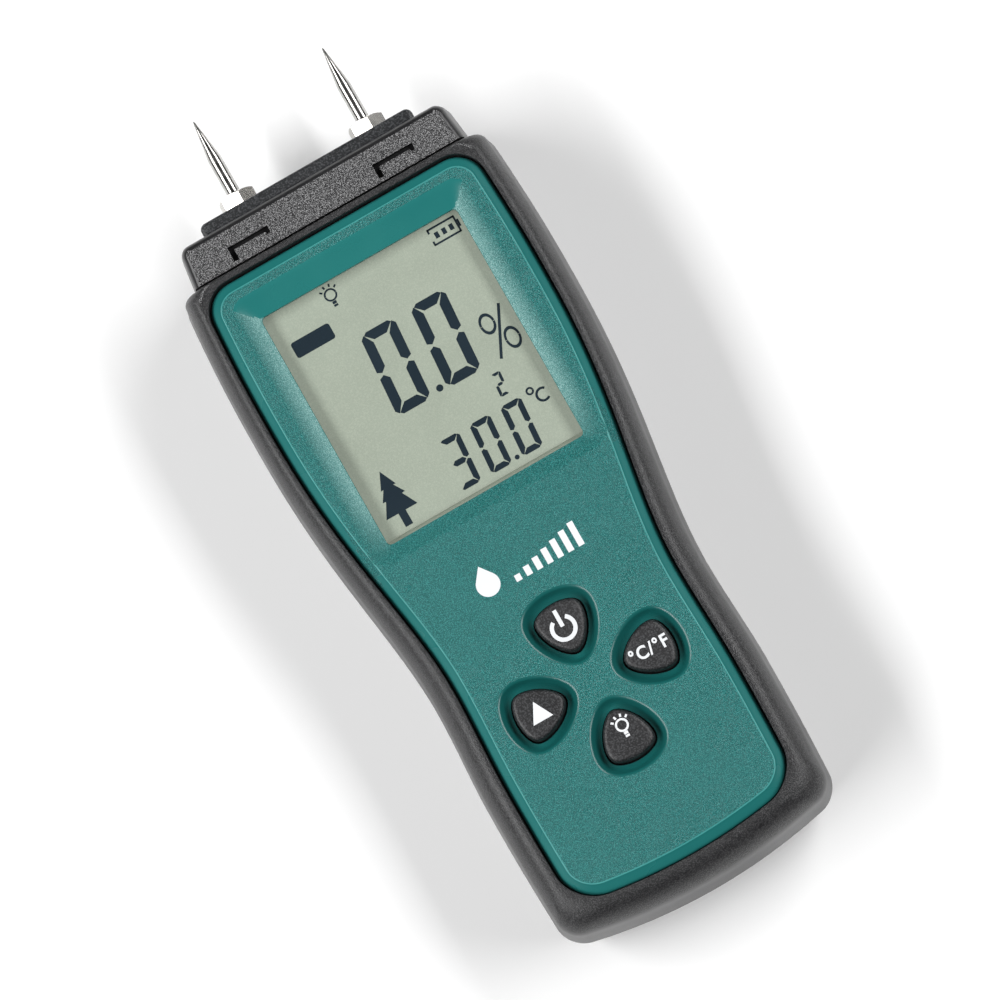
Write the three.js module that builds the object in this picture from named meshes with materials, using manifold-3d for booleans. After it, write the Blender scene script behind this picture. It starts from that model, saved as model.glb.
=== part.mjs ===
// Pin-type moisture meter lying on its back. Millimetres, +X right, +Y towards the pins, +Z out of the front.
import * as THREE from 'three';
import { mergeVertices } from 'three/addons/utils/BufferGeometryUtils.js';
import Module from 'manifold-3d';

const wasm = await Module();
wasm.setup();

// Driving dimensions
const gap = 0.3;             // left between pieces that rest on each other
const wall = 2.2;            // case wall
const frontZ = 27;           // front face above the back face
const partingZ = 13.85;      // middle of the joint line between the two case halves
const headY = 27;            // widest station of the head
const waistY = -30.4;        // narrowest station, where the hand closes
const gripY = -50.1;         // widest station of the grip
const shoulderY = 51.5;      // top of the wide body, where the collar starts
const bottomY = -79.8;       // bottom end of the case
const endSag = 0.005;        // how the ends curve: y rises by endSag * x * x
const panel = { head: 27, waist: 21.45, grip: 22, top: 49.8, bottom: -74.3, topCorner: 5.5, bottomCorner: 6 };
const body = {
  head: 30.9, waist: 26.15, grip: 26.9, top: shoulderY, bottom: bottomY, topCorner: 2, bottomCorner: 4,
};
const collar = { halfWidth: 27.1, top: 60, corner: 1.8, draft: 0.125, frontZ: 25, backZ: 2 };
const viewport = {
  halfWidth: 19, low: -3.2, high: 41.6, corner: 0.8, dishSide: 4, dishTop: 5.5, dishLow: 3.3,
};
const dishDepth = 1;
const ledge = { top: 24.1, under: 22, inset: 1.6 };
const cover = { under: 24.8, edgeZ: 26.4, slopeZ: 26.85, slopeInset: 0.7, flatInset: 2.1 };
const pins = {
  spacing: 25.4, axisZ: 13.5, baseY: 53, threadTopY: 65.2, shaftTopY: 72.5, tipY: 79.8,
  thread: 1.5, shaft: 1.22,
};
const nut = { acrossFlats: 6, bore: 1.8, lowY: 61.9, highY: 65, turn: 16 };
const socket = { inner: 1.8, outer: 2.5, lowY: 53.6, highY: 61.3 };
const block = {
  halfWidth: 20.6, top: 61.6, low: 53.2, backZ: 5, frontZ: 22.3, corner: 1.2,
  flange: 2, flangeTop: 57.3, bore: 2.8,
};
const catchRoom = { x: 14.15, length: 7.7, low: 52.6, high: 55.2, depth: 0.9 };
const board = { under: 16.9, top: 18.5, inset: 4.5, high: 47.3, low: -64.5 };
const key = { crossY: -40.7, radius: 10.4, size: 4.45, lobe: 0.38, narrowing: 0.96, low: 20.9, top: 27.6 };
const keyTurns = { power: 0, up: Math.PI / 2, light: Math.PI, units: -Math.PI / 2 };
const keyFlange = { margin: 0.75, low: 22.4, high: 23.4 };
const mat = { halfWidth: 17, low: -58.2, high: -24.3, thickness: 1.2 };
const cell = { radius: 5.25, length: 44.5, pitch: 10.7, axisZ: 7.75, contactReach: 4.5 };
const spring = { length: 3.7, turns: 3, steps: 24, wide: 3.6, narrow: 2.3, wire: 0.28 };
const bay = { halfWidth: 16.3, low: -72, high: -21.8, ceiling: 13.4, wall: 1.2 };
const door = { halfWidth: 19.5, high: -18.2, thickness: 2, wrapZ: 9 };
const rail = { inner: 15.6, outer: 17.5, hookOuter: 19.4, underHook: 3.3, top: 4.9 };
const caseScrews = [[19.5, 46], [-19.5, 46], [15.5, -13.5], [-15.5, -13.5]];
const boardScrews = [[15.2, -22], [-15.2, -22], [15.5, -60.5], [-15.5, -60.5]];
const caseScrew = { headZ: 5, headRadius: 2.4, headHeight: 1.7, shankRadius: 1, tipZ: 19.5, hole: 1.3 };
const boardScrew = { headZ: 15.3, headRadius: 1.9, headHeight: 1.3, shankRadius: 0.8, tipZ: 22.5, hole: 1.1 };
const throatHalf = 24;       // half width of the room that runs from the body into the collar
const throatTop = 57.6;
const past = 1;              // how far a cutting tool reaches past the face that it opens

// Solids

function toSolid(geometry) {
  const bare = geometry.clone();
  bare.deleteAttribute('normal');
  bare.deleteAttribute('uv');
  const merged = mergeVertices(bare, 1e-4);
  const vertProperties = new Float32Array(merged.attributes.position.array);
  const triVerts = new Uint32Array(merged.index.array);
  return new wasm.Manifold(new wasm.Mesh({ numProp: 3, vertProperties, triVerts }));
}

function toGeometry(solid) {
  const mesh = solid.getMesh();
  const geometry = new THREE.BufferGeometry();
  geometry.setAttribute('position', new THREE.BufferAttribute(new Float32Array(mesh.vertProperties), 3));
  geometry.setIndex(new THREE.BufferAttribute(new Uint32Array(mesh.triVerts), 1));
  geometry.computeVertexNormals();
  return geometry;
}

function cut(solid, ...tools) {
  return tools.reduce((left, tool) => left.subtract(tool), solid);
}

function join(solid, ...others) {
  return others.reduce((whole, other) => whole.add(other), solid);
}

// Box from its lowest to its highest corner
function box(low, high) {
  const size = high.map((value, axis) => value - low[axis]);
  const middle = high.map((value, axis) => (value + low[axis]) / 2);
  return toSolid(new THREE.BoxGeometry(...size).translate(...middle));
}

// Cylinder along Z
function postZ(x, y, radius, lowZ, highZ, sides = 16) {
  const geometry = new THREE.CylinderGeometry(radius, radius, highZ - lowZ, sides).rotateX(Math.PI / 2);
  return toSolid(geometry.translate(x, y, (lowZ + highZ) / 2));
}

// Solid of revolution about an axis along Y, from [radius, y] stations that start and end on the axis
function turnedY(x, z, stations, sides = 16) {
  const profile = stations.map(([radius, y]) => new THREE.Vector2(radius, y));
  return toSolid(new THREE.LatheGeometry(profile, sides).translate(x, 0, z));
}

// Solid of revolution about an axis along Z, from [radius, z] stations that start and end on the axis
function turnedZ(x, y, stations, sides = 16) {
  const profile = stations.map(([radius, z]) => new THREE.Vector2(radius, z));
  return toSolid(new THREE.LatheGeometry(profile, sides).rotateX(Math.PI / 2).translate(x, y, 0));
}

// Skin over a stack of rings, each { points, z } with the same number of points, from the lowest up
function loft(rings) {
  const count = rings[0].points.length;
  const position = rings.flatMap(({ points, z }) => points.flatMap((point) => [point.x, point.y, z]));
  const index = [];
  for (let ring = 0; ring < rings.length - 1; ring += 1) {
    for (let i = 0; i < count; i += 1) {
      const a = ring * count + i;
      const b = ring * count + (i + 1) % count;
      index.push(a, b, b + count, a, b + count, a + count);
    }
  }
  const lastRing = rings.length - 1;
  for (const [a, b, c] of THREE.ShapeUtils.triangulateShape(rings[0].points, [])) {
    index.push(a, c, b);
  }
  for (const [a, b, c] of THREE.ShapeUtils.triangulateShape(rings[lastRing].points, [])) {
    index.push(a + lastRing * count, b + lastRing * count, c + lastRing * count);
  }
  const geometry = new THREE.BufferGeometry();
  geometry.setAttribute('position', new THREE.Float32BufferAttribute(position, 3));
  geometry.setIndex(index);
  return toSolid(geometry);
}

// Outlines

function smooth(t) {
  return t * t * (3 - 2 * t);
}

// Half the width of an outline at a station: full head, narrow waist, slightly wider grip
function sideAt(edge, y) {
  if (y >= headY) {
    return edge.head - 1.1 * ((y - headY) / (shoulderY - headY)) ** 2;
  }
  if (y >= waistY) {
    const along = ((headY - y) / (headY - waistY)) ** 1.35;
    return edge.head + (edge.waist - edge.head) * smooth(along);
  }
  if (y >= gripY) {
    return edge.waist + (edge.grip - edge.waist) * smooth((waistY - y) / (waistY - gripY));
  }
  return edge.grip - 0.9 * ((gripY - y) / (gripY - bottomY)) ** 2;
}

function endAt(edge, x) {
  return edge.bottom + endSag * x * x;
}

function arcCorner(from, through, to, steps) {
  const roundness = 0.552;   // handle length that makes a cubic follow a circle
  const first = from.clone().lerp(through, roundness);
  const second = to.clone().lerp(through, roundness);
  return new THREE.CubicBezierCurve(from, first, second, to).getPoints(steps);
}

// Closed outline, anticlockwise from the bottom middle. Every edge gives the same number of points.
function outline(edge) {
  const lowX = edge.grip - 0.6 - edge.bottomCorner;
  const lowY = endAt(edge, edge.grip - 0.6) + edge.bottomCorner;
  const highY = edge.top - edge.topCorner;
  const right = [];
  for (let i = 0; i < 3; i += 1) {
    const x = lowX * i / 3;
    right.push(new THREE.Vector2(x, endAt(edge, x)));
  }
  const low = new THREE.Vector2(sideAt(edge, lowY), lowY);
  const lowCorner = new THREE.Vector2(low.x, endAt(edge, low.x));
  right.push(...arcCorner(new THREE.Vector2(lowX, endAt(edge, lowX)), lowCorner, low, 4));
  const sideSteps = 14;
  for (let i = 1; i < sideSteps; i += 1) {
    const y = lowY + (highY - lowY) * i / sideSteps;
    right.push(new THREE.Vector2(sideAt(edge, y), y));
  }
  const high = new THREE.Vector2(sideAt(edge, highY), highY);
  const highCorner = new THREE.Vector2(high.x, edge.top);
  right.push(...arcCorner(high, highCorner, new THREE.Vector2(high.x - edge.topCorner, edge.top), 4));
  const left = right.slice(1).reverse().map((point) => new THREE.Vector2(-point.x, point.y));
  return [...right, ...left];
}

// The same edge drawn in by a distance. The shoulder moves by its own share of it.
function inset(edge, distance, topShare = 1) {
  return {
    head: edge.head - distance,
    waist: edge.waist - distance,
    grip: edge.grip - distance,
    top: edge.top - distance * topShare,
    bottom: edge.bottom + distance,
    topCorner: Math.max(edge.topCorner - distance, 0.8),
    bottomCorner: Math.max(edge.bottomCorner - distance, 1.2),
  };
}

function ring(edge, z) {
  return { points: outline(edge), z };
}

function roundedBox(halfWidth, low, high, corner, z) {
  const points = [];
  const centres = [[halfWidth, high, 0], [-halfWidth, high, 1], [-halfWidth, low, 2], [halfWidth, low, 3]];
  for (const [x, y, quarter] of centres) {
    const centreX = x - Math.sign(x) * corner;
    const centreY = y - (y === high ? corner : -corner);
    for (let i = 0; i <= 3; i += 1) {
      const angle = (quarter + i / 3) * Math.PI / 2;
      const out = new THREE.Vector2(Math.cos(angle), Math.sin(angle)).multiplyScalar(corner);
      points.push(out.add(new THREE.Vector2(centreX, centreY)));
    }
  }
  return { points, z };
}

// The collar's section, drafted towards the pins
function collarRing(distance, z) {
  const side = (y) => collar.halfWidth - distance - collar.draft * (y - shoulderY);
  const top = collar.top - distance;
  const low = shoulderY - 6;
  const right = [new THREE.Vector2(side(low), low)];
  const from = new THREE.Vector2(side(top - collar.corner), top - collar.corner);
  const to = new THREE.Vector2(from.x - collar.corner, top);
  right.push(...arcCorner(from, new THREE.Vector2(from.x, top), to, 4));
  const left = right.slice().reverse().map((point) => new THREE.Vector2(-point.x, point.y));
  return { points: [...right, ...left], z };
}

// Rounded triangle of a key, its tip towards the middle of the cross. Its edge stands off its centre by
// size + lobe * cos(3 * angle) along each normal, so a margin moves it outwards evenly.
function keyOutline(turn, margin, z) {
  const sides = 24;
  const middle = new THREE.Vector2(0, key.crossY);
  const points = [];
  for (let i = 0; i < sides; i += 1) {
    const angle = 2 * Math.PI * i / sides;
    const reach = key.size + margin + key.lobe * Math.cos(3 * angle);
    const slip = -3 * key.lobe * Math.sin(3 * angle);
    const across = reach * Math.sin(angle) + slip * Math.cos(angle);
    const along = reach * Math.cos(angle) - slip * Math.sin(angle);
    const point = new THREE.Vector2(across * key.narrowing, key.radius + key.lobe - along);
    points.push(point.rotateAround(new THREE.Vector2(), turn).add(middle));
  }
  return { points, z };
}

// Case

// Front half of the outside: wall, then a broad rounded shoulder up to the thin flat rim
function frontOutside() {
  const rim = { ...inset(panel, -0.5), top: shoulderY - 0.6, topCorner: 4 };
  const shoulderZ = 20.5;
  const rings = [ring(body, partingZ + gap / 2), ring(inset(body, 0.4, 0), shoulderZ - 2)];
  const wallTop = inset(body, 0.55, 0);
  const steps = 5;
  for (let i = 0; i <= steps; i += 1) {
    const angle = Math.PI / 2 * i / steps;
    const share = 1 - Math.cos(angle);
    const mixed = {};
    for (const key of Object.keys(body)) {
      mixed[key] = THREE.MathUtils.lerp(wallTop[key], rim[key], share);
    }
    rings.push(ring(mixed, shoulderZ + (frontZ - shoulderZ) * Math.sin(angle)));
  }
  return loft(rings);
}

// Rear half of the outside, from the flat back up to the parting line
function rearOutside(distance = 0) {
  const stations = [[5.2, 0], [4.1, 0.4], [3.1, 1.4], [2.2, 3.2], [1, 8], [0.1, partingZ - gap / 2]];
  return loft(stations.map(([drawnIn, z]) => ring(inset(body, drawnIn + distance, 0.3), z + distance)));
}

function collarHalf(stations) {
  return loft(stations.map(([distance, z]) => collarRing(distance, z)));
}

// Shallow pockets for the protective cap's two catches, deepest on the pin side
function catchPocket(side) {
  const { x, length, low, high, depth } = catchRoom;
  const lip = 0.05;
  const wedge = new THREE.Shape();
  wedge.moveTo(low, collar.frontZ + lip);
  wedge.lineTo(high, collar.frontZ - depth);
  wedge.lineTo(high, collar.frontZ + past);
  wedge.lineTo(low, collar.frontZ + past);
  const geometry = new THREE.ExtrudeGeometry(wedge, { depth: length, bevelEnabled: false });
  // The wedge is drawn in Y and Z and pushed out along X
  geometry.applyMatrix4(new THREE.Matrix4().makeBasis(
    new THREE.Vector3(0, 1, 0), new THREE.Vector3(0, 0, 1), new THREE.Vector3(1, 0, 0),
  ));
  return toSolid(geometry.translate(side * x - length / 2, 0, 0));
}

function blockOpening() {
  const room = block.halfWidth + gap;
  return box([-room, collar.top - 4, block.backZ - gap], [room, collar.top + past, block.frontZ + gap]);
}

function frontCase() {
  const low = partingZ + gap / 2;
  const outside = join(
    frontOutside(),
    collarHalf([[0, low], [0.4, 20], [0.75, 23.4], [1.2, 24.6], [2, collar.frontZ]]),
  );
  const cavity = loft([
    ring(inset(body, wall), low - past),
    ring(inset(body, wall), low + 2),
    ring(inset(panel, -0.4), ledge.under),
  ]);
  const opening = loft([
    ring(inset(panel, -gap / 2), ledge.top),
    ring(inset(panel, -gap / 2), frontZ + past),
  ]);
  const throat = loft([ring(inset(panel, ledge.inset), low), ring(inset(panel, ledge.inset), frontZ)]);
  const inCollar = box([-throatHalf, shoulderY - 6, low - past], [throatHalf, throatTop, collar.frontZ - wall]);
  const bossRoom = caseScrews.map(([x, y]) => postZ(x, y, 2.9, low, frontZ));
  const solid = cut(outside, cavity, opening, throat, inCollar, blockOpening());
  return cut(solid, catchPocket(1), catchPocket(-1), ...bossRoom);
}

// Opening in the back for the battery cover, and the slot its end wraps into
function doorRoom(clearance) {
  const half = door.halfWidth + clearance;
  const reach = box([-half, bottomY - past, -past], [half, door.high + clearance, door.wrapZ + clearance]);
  const skin = cut(rearOutside(-clearance), rearOutside(door.thickness + clearance));
  return skin.intersect(reach);
}

// Box between two distances from the middle, on one side of it
function sideBox(side, [nearX, farX], [lowY, highY], [lowZ, highZ]) {
  const [left, right] = [side * nearX, side * farX].sort((a, b) => a - b);
  return box([left, lowY, lowZ], [right, highY, highZ]);
}

function rearCase() {
  const top = partingZ - gap / 2;
  const outside = join(
    rearOutside(),
    collarHalf([[2.6, collar.backZ], [1.4, 2.6], [0.8, 4], [0.1, top]]),
  );
  const endRoom = 5.3;       // the bottom end is thick, because the battery cover wraps round it
  const room = { ...inset(body, wall + 0.6), bottom: bottomY + endRoom };
  const cavity = loft([ring(inset(room, 2), wall), ring(inset(room, 0.8), 5), ring(room, top + past)]);
  const inCollar = box([-throatHalf, shoulderY - 6, collar.backZ + wall], [throatHalf, throatTop, top + past]);
  let solid = cut(outside, cavity, inCollar, blockOpening());
  // Lip that stands inside the front case and closes the joint line, on a foot against the wall
  const lipHeight = 1.5;
  const lipInner = inset(body, wall + 1.4);
  const lipOuter = inset(body, wall + 0.5);
  const inner = loft([ring(lipInner, top - 5), ring(lipInner, top + 3)]);
  const aboveShoulder = box([-40, shoulderY - 7, 0], [40, collar.top + 10, frontZ]);
  const foot = loft([ring(inset(body, 1.4), top - 3.2), ring(inset(body, 1.2), top - 0.4)]);
  const lip = loft([ring(lipOuter, top - past), ring(lipOuter, top + lipHeight)]);
  solid = join(solid, cut(foot, inner, aboveShoulder), cut(lip, inner, aboveShoulder));
  // Battery bay, and the rails that the cover slides on
  solid = join(solid, box(
    [-bay.halfWidth - bay.wall, bay.low - 2.8, wall],
    [bay.halfWidth + bay.wall, bay.high + bay.wall, bay.ceiling + bay.wall],
  ));
  const railReach = [bay.low - 2, door.high + past];
  for (const side of [-1, 1]) {
    const bar = sideBox(side, [rail.outer, rail.outer + 4.5], railReach, [1, rail.underHook]);
    solid = join(solid, bar.intersect(rearOutside(1)));
  }
  solid = cut(solid, box([-bay.halfWidth, bay.low, -past], [bay.halfWidth, bay.high, bay.ceiling]));
  const slotReach = [bottomY - past, door.high + gap];
  for (const side of [-1, 1]) {
    const stem = sideBox(side, [rail.inner, rail.outer], slotReach, [-past, rail.top]);
    const hook = sideBox(side, [rail.outer - 0.1, rail.hookOuter], slotReach, [rail.underHook, rail.top]);
    solid = cut(solid, stem, hook);
  }
  solid = cut(solid, doorRoom(gap));
  for (const [x, y] of caseScrews) {
    const tower = postZ(x, y, 3.6, 1, top - 0.1);
    const access = postZ(x, y, 2.9, -past, caseScrew.headZ + 2);
    const shankHole = postZ(x, y, 1.4, caseScrew.headZ, frontZ);
    solid = cut(join(solid, tower), access, shankHole);
  }
  return solid;
}

// Slides off towards the bottom: its two hooked ribs run over the rails of the rear case
function batteryCover() {
  const play = 0.4;
  const ribReach = [bay.low - 1.5, door.high - 1];
  const high = rail.top - play;
  let solid = doorRoom(0);
  for (const side of [-1, 1]) {
    const rib = [rail.inner + gap, rail.outer - play];
    const hook = [rail.inner + gap, rail.hookOuter - play];
    solid = join(
      solid,
      sideBox(side, rib, ribReach, [door.thickness - 0.5, high]),
      sideBox(side, hook, ribReach, [rail.underHook + play, high]),
    );
  }
  return solid;
}

// Front cover with its dished window surround, key recesses and screw bosses

function windowDish() {
  const { halfWidth, low, high, dishSide, dishTop, dishLow } = viewport;
  const above = 0.1;
  return loft([
    roundedBox(halfWidth + 0.4, low - 0.4, high + 0.4, 1, frontZ - dishDepth),
    roundedBox(halfWidth + dishSide, low - dishLow, high + dishTop, 3, frontZ),
    roundedBox(halfWidth + dishSide + above, low - dishLow - above, high + dishTop + above, 3, frontZ + 0.5),
  ]);
}

function frontCover() {
  const edge = inset(panel, gap / 2);
  const sunk = 0.5;          // how far a boss runs into the plate that it stands on
  let solid = loft([
    ring(edge, cover.under),
    ring(edge, cover.edgeZ),
    ring(inset(panel, cover.slopeInset), cover.slopeZ),
    ring(inset(panel, cover.flatInset), frontZ),
  ]);
  for (const [x, y] of caseScrews) {
    const boss = postZ(x, y, 2.6, partingZ + 0.05, cover.under + sunk);
    solid = cut(join(solid, boss), postZ(x, y, caseScrew.hole, partingZ - past, caseScrew.tipZ + 1.5));
  }
  for (const [x, y] of boardScrews) {
    const boss = postZ(x, y, 2, board.top + gap, cover.under + sunk);
    solid = cut(join(solid, boss), postZ(x, y, boardScrew.hole, board.top, boardScrew.tipZ + 0.5));
  }
  const { halfWidth, low, high, corner } = viewport;
  const opening = loft([
    roundedBox(halfWidth, low, high, corner, cover.under - past),
    roundedBox(halfWidth, low, high, corner, frontZ + past),
  ]);
  solid = cut(solid, opening, windowDish());
  const recessDepth = 0.9;
  for (const turn of Object.values(keyTurns)) {
    const recess = loft([
      keyOutline(turn, 0.9, frontZ - recessDepth),
      keyOutline(turn, 2.1, frontZ),
      keyOutline(turn, 2.2, frontZ + 0.5),
    ]);
    const hole = loft([keyOutline(turn, 0.35, cover.under - past), keyOutline(turn, 0.35, frontZ + past)]);
    solid = cut(solid, recess, hole);
  }
  return solid;
}

// Keys stand on a rubber mat. Each has a flange under the cover that keeps it in.
function keyCap(turn) {
  const cap = loft([
    keyOutline(turn, 0, key.low),
    keyOutline(turn, 0, key.top - 0.7),
    keyOutline(turn, -0.25, key.top - 0.2),
    keyOutline(turn, -0.8, key.top),
  ]);
  const { margin, low, high } = keyFlange;
  return join(cap, loft([keyOutline(turn, margin, low), keyOutline(turn, margin, high)]));
}

function keypadMat() {
  const underside = board.top + gap;
  const sheet = box([-mat.halfWidth, mat.low, underside], [mat.halfWidth, mat.high, underside + mat.thickness]);
  const wells = Object.values(keyTurns).map((turn) => {
    return loft([keyOutline(turn, -1.2, underside - past), keyOutline(turn, -1.2, underside + 3)]);
  });
  return cut(sheet, ...wells);
}

// Display stack, from the lens down to the board

function windowLens() {
  const { halfWidth, low, high } = viewport;
  return loft([
    roundedBox(halfWidth + 1, low - 1.9, high + 0.8, 1, 23.5),
    roundedBox(halfWidth + 1, low - 1.9, high + 0.8, 1, cover.under - gap),
  ]);
}

// Two sheets of glass; the rear one is longer and carries the contacts
function displayGlass() {
  return join(
    box([-20.7, -5.6, 21.4], [20.7, 42, 22.3]),
    box([-20.7, -2.2, 22.2], [20.7, 42, 23.2]),
  );
}

function displayFrame() {
  return cut(
    box([-22, -7.2, board.top + gap], [22, 43, 23.2]),
    box([-21, -5.9, board.top], [21, 42.3, 24]),
  );
}

function backlight() {
  return box([-20.4, -1.8, board.top + 0.4], [20.4, 41.8, 21.1]);
}

function displayConnector() {
  return box([-18, -5.3, board.top + gap], [18, -2.6, 21.1]);
}

// Circuit board and what is on it

function mainBoard() {
  const edge = { ...inset(panel, board.inset), top: board.high };
  let solid = loft([ring(edge, board.under), ring(edge, board.top)]);
  solid = solid.intersect(box([-30, board.low, board.under - past], [30, board.high + past, board.top + past]));
  for (const [x, y] of caseScrews) {
    solid = cut(solid, postZ(x, y, 2.9, board.under - past, board.top + past));
  }
  for (const [x, y] of boardScrews) {
    solid = cut(solid, postZ(x, y, 1.1, board.under - past, board.top + past, 12));
  }
  return solid;
}

// Blob of resin over the bare controller
function controllerChip() {
  const high = board.under - gap;
  return turnedZ(0, 15, [[0, high - 1.5], [3.5, high - 1.3], [6, high - 0.6], [6.6, high], [0, high]]);
}

function temperatureSensor() {
  const low = board.high + gap;
  const middleZ = (board.under + board.top) / 2;
  const stations = [[0, low], [0.4, low], [0.4, low + 1.5], [1.2, low + 2], [1.2, low + 3.2], [0, low + 4]];
  return turnedY(-5, middleZ, stations, 12);
}

// Electrodes

function pinX(side) {
  return side * pins.spacing / 2;
}

function electrodeBlock() {
  const { halfWidth, top, low, backZ, frontZ: front, corner, flange, flangeTop } = block;
  const proud = loft([
    roundedBox(halfWidth - 0.5, low, top - 0.4, corner, backZ),
    roundedBox(halfWidth, low, top, corner, backZ + 0.5),
    roundedBox(halfWidth, low, top, corner, front - 0.5),
    roundedBox(halfWidth - 0.5, low, top - 0.4, corner, front),
  ]);
  const ears = box([-halfWidth - flange, low, backZ + 0.7], [halfWidth + flange, flangeTop, front - 0.7]);
  let solid = join(proud, ears);
  for (const side of [-1, 1]) {
    const bore = [[0, low - past], [block.bore, low - past], [block.bore, top + past], [0, top + past]];
    solid = cut(solid, turnedY(pinX(side), pins.axisZ, bore));
  }
  return solid;
}

// Brass bush with the thread that the pin screws into
function pinSocket(side) {
  const { inner, outer, lowY, highY } = socket;
  const stations = [[inner, lowY], [outer, lowY], [outer, highY], [inner, highY], [inner, lowY]];
  return turnedY(pinX(side), pins.axisZ, stations);
}

function pin(side) {
  const { baseY, threadTopY, shaftTopY, tipY, thread, shaft } = pins;
  const stations = [
    [0, baseY], [thread - 0.2, baseY], [thread, baseY + gap], [thread, threadTopY], [shaft, threadTopY + gap],
    [shaft, shaftTopY], [0.6, 76.6], [0.12, tipY - 0.1], [0, tipY],
  ];
  return turnedY(pinX(side), pins.axisZ, stations, 16);
}

function pinNut(side) {
  const { acrossFlats, bore, lowY, highY, turn } = nut;
  const radius = acrossFlats / Math.sqrt(3);
  const hex = new THREE.CylinderGeometry(radius, radius, highY - lowY, 6);
  hex.rotateY(THREE.MathUtils.degToRad(turn)).translate(pinX(side), (lowY + highY) / 2, pins.axisZ);
  const blank = toSolid(hex);
  const hole = [[0, lowY - past], [bore, lowY - past], [bore, highY + past], [0, highY + past]];
  return cut(blank, turnedY(pinX(side), pins.axisZ, hole));
}

const terminal = { half: 2, thickness: 0.5, highY: 52.7, lowZ: 10.5, reachY: 44.5 };

// Spring strip from the socket's end to the underside of the board
function pinTerminal(side) {
  const x = pinX(side);
  const { half, thickness, highY, lowZ, reachY } = terminal;
  const high = board.under - gap;
  return join(
    box([x - half, highY - thickness, lowZ], [x + half, highY, high]),
    box([x - half, reachY, high - thickness], [x + half, highY, high]),
  );
}

// Batteries and their contacts

function battery(x, way) {
  const { radius, length, axisZ } = cell;
  const clear = 1;           // between a cell's nub and the end of the bay
  const base = way > 0 ? bay.high - clear - length : bay.low + clear + length;
  const stations = [
    [0, 0], [4.6, 0], [radius, 0.6], [radius, length - 1.6], [4.4, length - 0.9], [1.9, length - 0.8],
    [1.8, length], [0, length],
  ];
  const geometry = new THREE.LatheGeometry(stations.map(([r, y]) => new THREE.Vector2(r, y)), 20);
  geometry.rotateX(way > 0 ? 0 : Math.PI);
  return toSolid(geometry.translate(x, base, axisZ));
}

const plate = { thickness: 0.4, lowZ: 3.4, highZ: 12.4 };

function contactPlate(lowX, highX, way) {
  const face = way > 0 ? bay.high - gap : bay.low + gap;
  const [low, high] = [face, face - way * plate.thickness].sort((a, b) => a - b);
  return box([lowX, low, plate.lowZ], [highX, high, plate.highZ]);
}

// Conical spring that stands on a contact plate and presses on a cell's base
function contactSpring(x, way) {
  const { length, turns, steps, wide, narrow, wire: wireRadius } = spring;
  const sunk = 0.2;
  const foot = (way > 0 ? bay.high : bay.low) - way * (gap + sunk);
  const points = [];
  for (let i = 0; i <= steps; i += 1) {
    const share = i / steps;
    const angle = share * turns * 2 * Math.PI;
    const radius = wide + (narrow - wide) * share;
    const along = foot - way * share * (length - sunk);
    points.push(new THREE.Vector3(x + radius * Math.cos(angle), along, cell.axisZ + radius * Math.sin(angle)));
  }
  const wire = new THREE.Shape();
  for (let i = 0; i < 6; i += 1) {
    const angle = i * Math.PI / 3;
    wire[i ? 'lineTo' : 'moveTo'](wireRadius * Math.cos(angle), wireRadius * Math.sin(angle));
  }
  const extrudePath = new THREE.CatmullRomCurve3(points);
  return toSolid(new THREE.ExtrudeGeometry(wire, { steps, extrudePath, bevelEnabled: false }));
}

// Fasteners: pan-head screws driven from the back

function screw(x, y, { headZ, headRadius, headHeight, shankRadius, tipZ }) {
  const slot = headRadius * 0.28;
  const under = headZ + headHeight;
  const stations = [
    [0, headZ], [headRadius * 0.75, headZ], [headRadius, headZ + headHeight * 0.4], [headRadius, under],
    [shankRadius, under], [shankRadius, tipZ - 1], [0, tipZ],
  ];
  const blank = turnedZ(x, y, stations, 12);
  const reach = headRadius * 0.6;
  const deep = headZ + headHeight * 0.45;
  return cut(
    blank,
    box([x - slot / 2, y - reach, headZ - past], [x + slot / 2, y + reach, deep]),
    box([x - reach, y - slot / 2, headZ - past], [x + reach, y + slot / 2, deep]),
  );
}

// Finishes

const finishes = {
  teal: { color: 0x1f7f72, roughness: 0.55 },
  black: { color: 0x1c1c1d, roughness: 0.6 },
  rubber: { color: 0x242424, roughness: 0.8 },
  nickel: { color: 0xc9c7c0, roughness: 0.25, metalness: 1 },
  steel: { color: 0xb4b4b0, roughness: 0.3, metalness: 1 },
  brass: { color: 0xb9963f, roughness: 0.35, metalness: 1 },
  clear: { color: 0xe8eeee, roughness: 0.05, transparent: true, opacity: 0.3 },
  glass: { color: 0xaeb6a2, roughness: 0.1 },
  white: { color: 0xe6e6e0, roughness: 0.5 },
  board: { color: 0x1d5a34, roughness: 0.5 },
  epoxy: { color: 0x0f0f10, roughness: 0.3 },
  cell: { color: 0x2d3a5c, roughness: 0.4 },
};

const meter = new THREE.Group();

function place(name, solid, finish) {
  const mesh = new THREE.Mesh(toGeometry(solid), new THREE.MeshStandardMaterial(finishes[finish]));
  mesh.name = name;
  meter.add(mesh);
}

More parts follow.
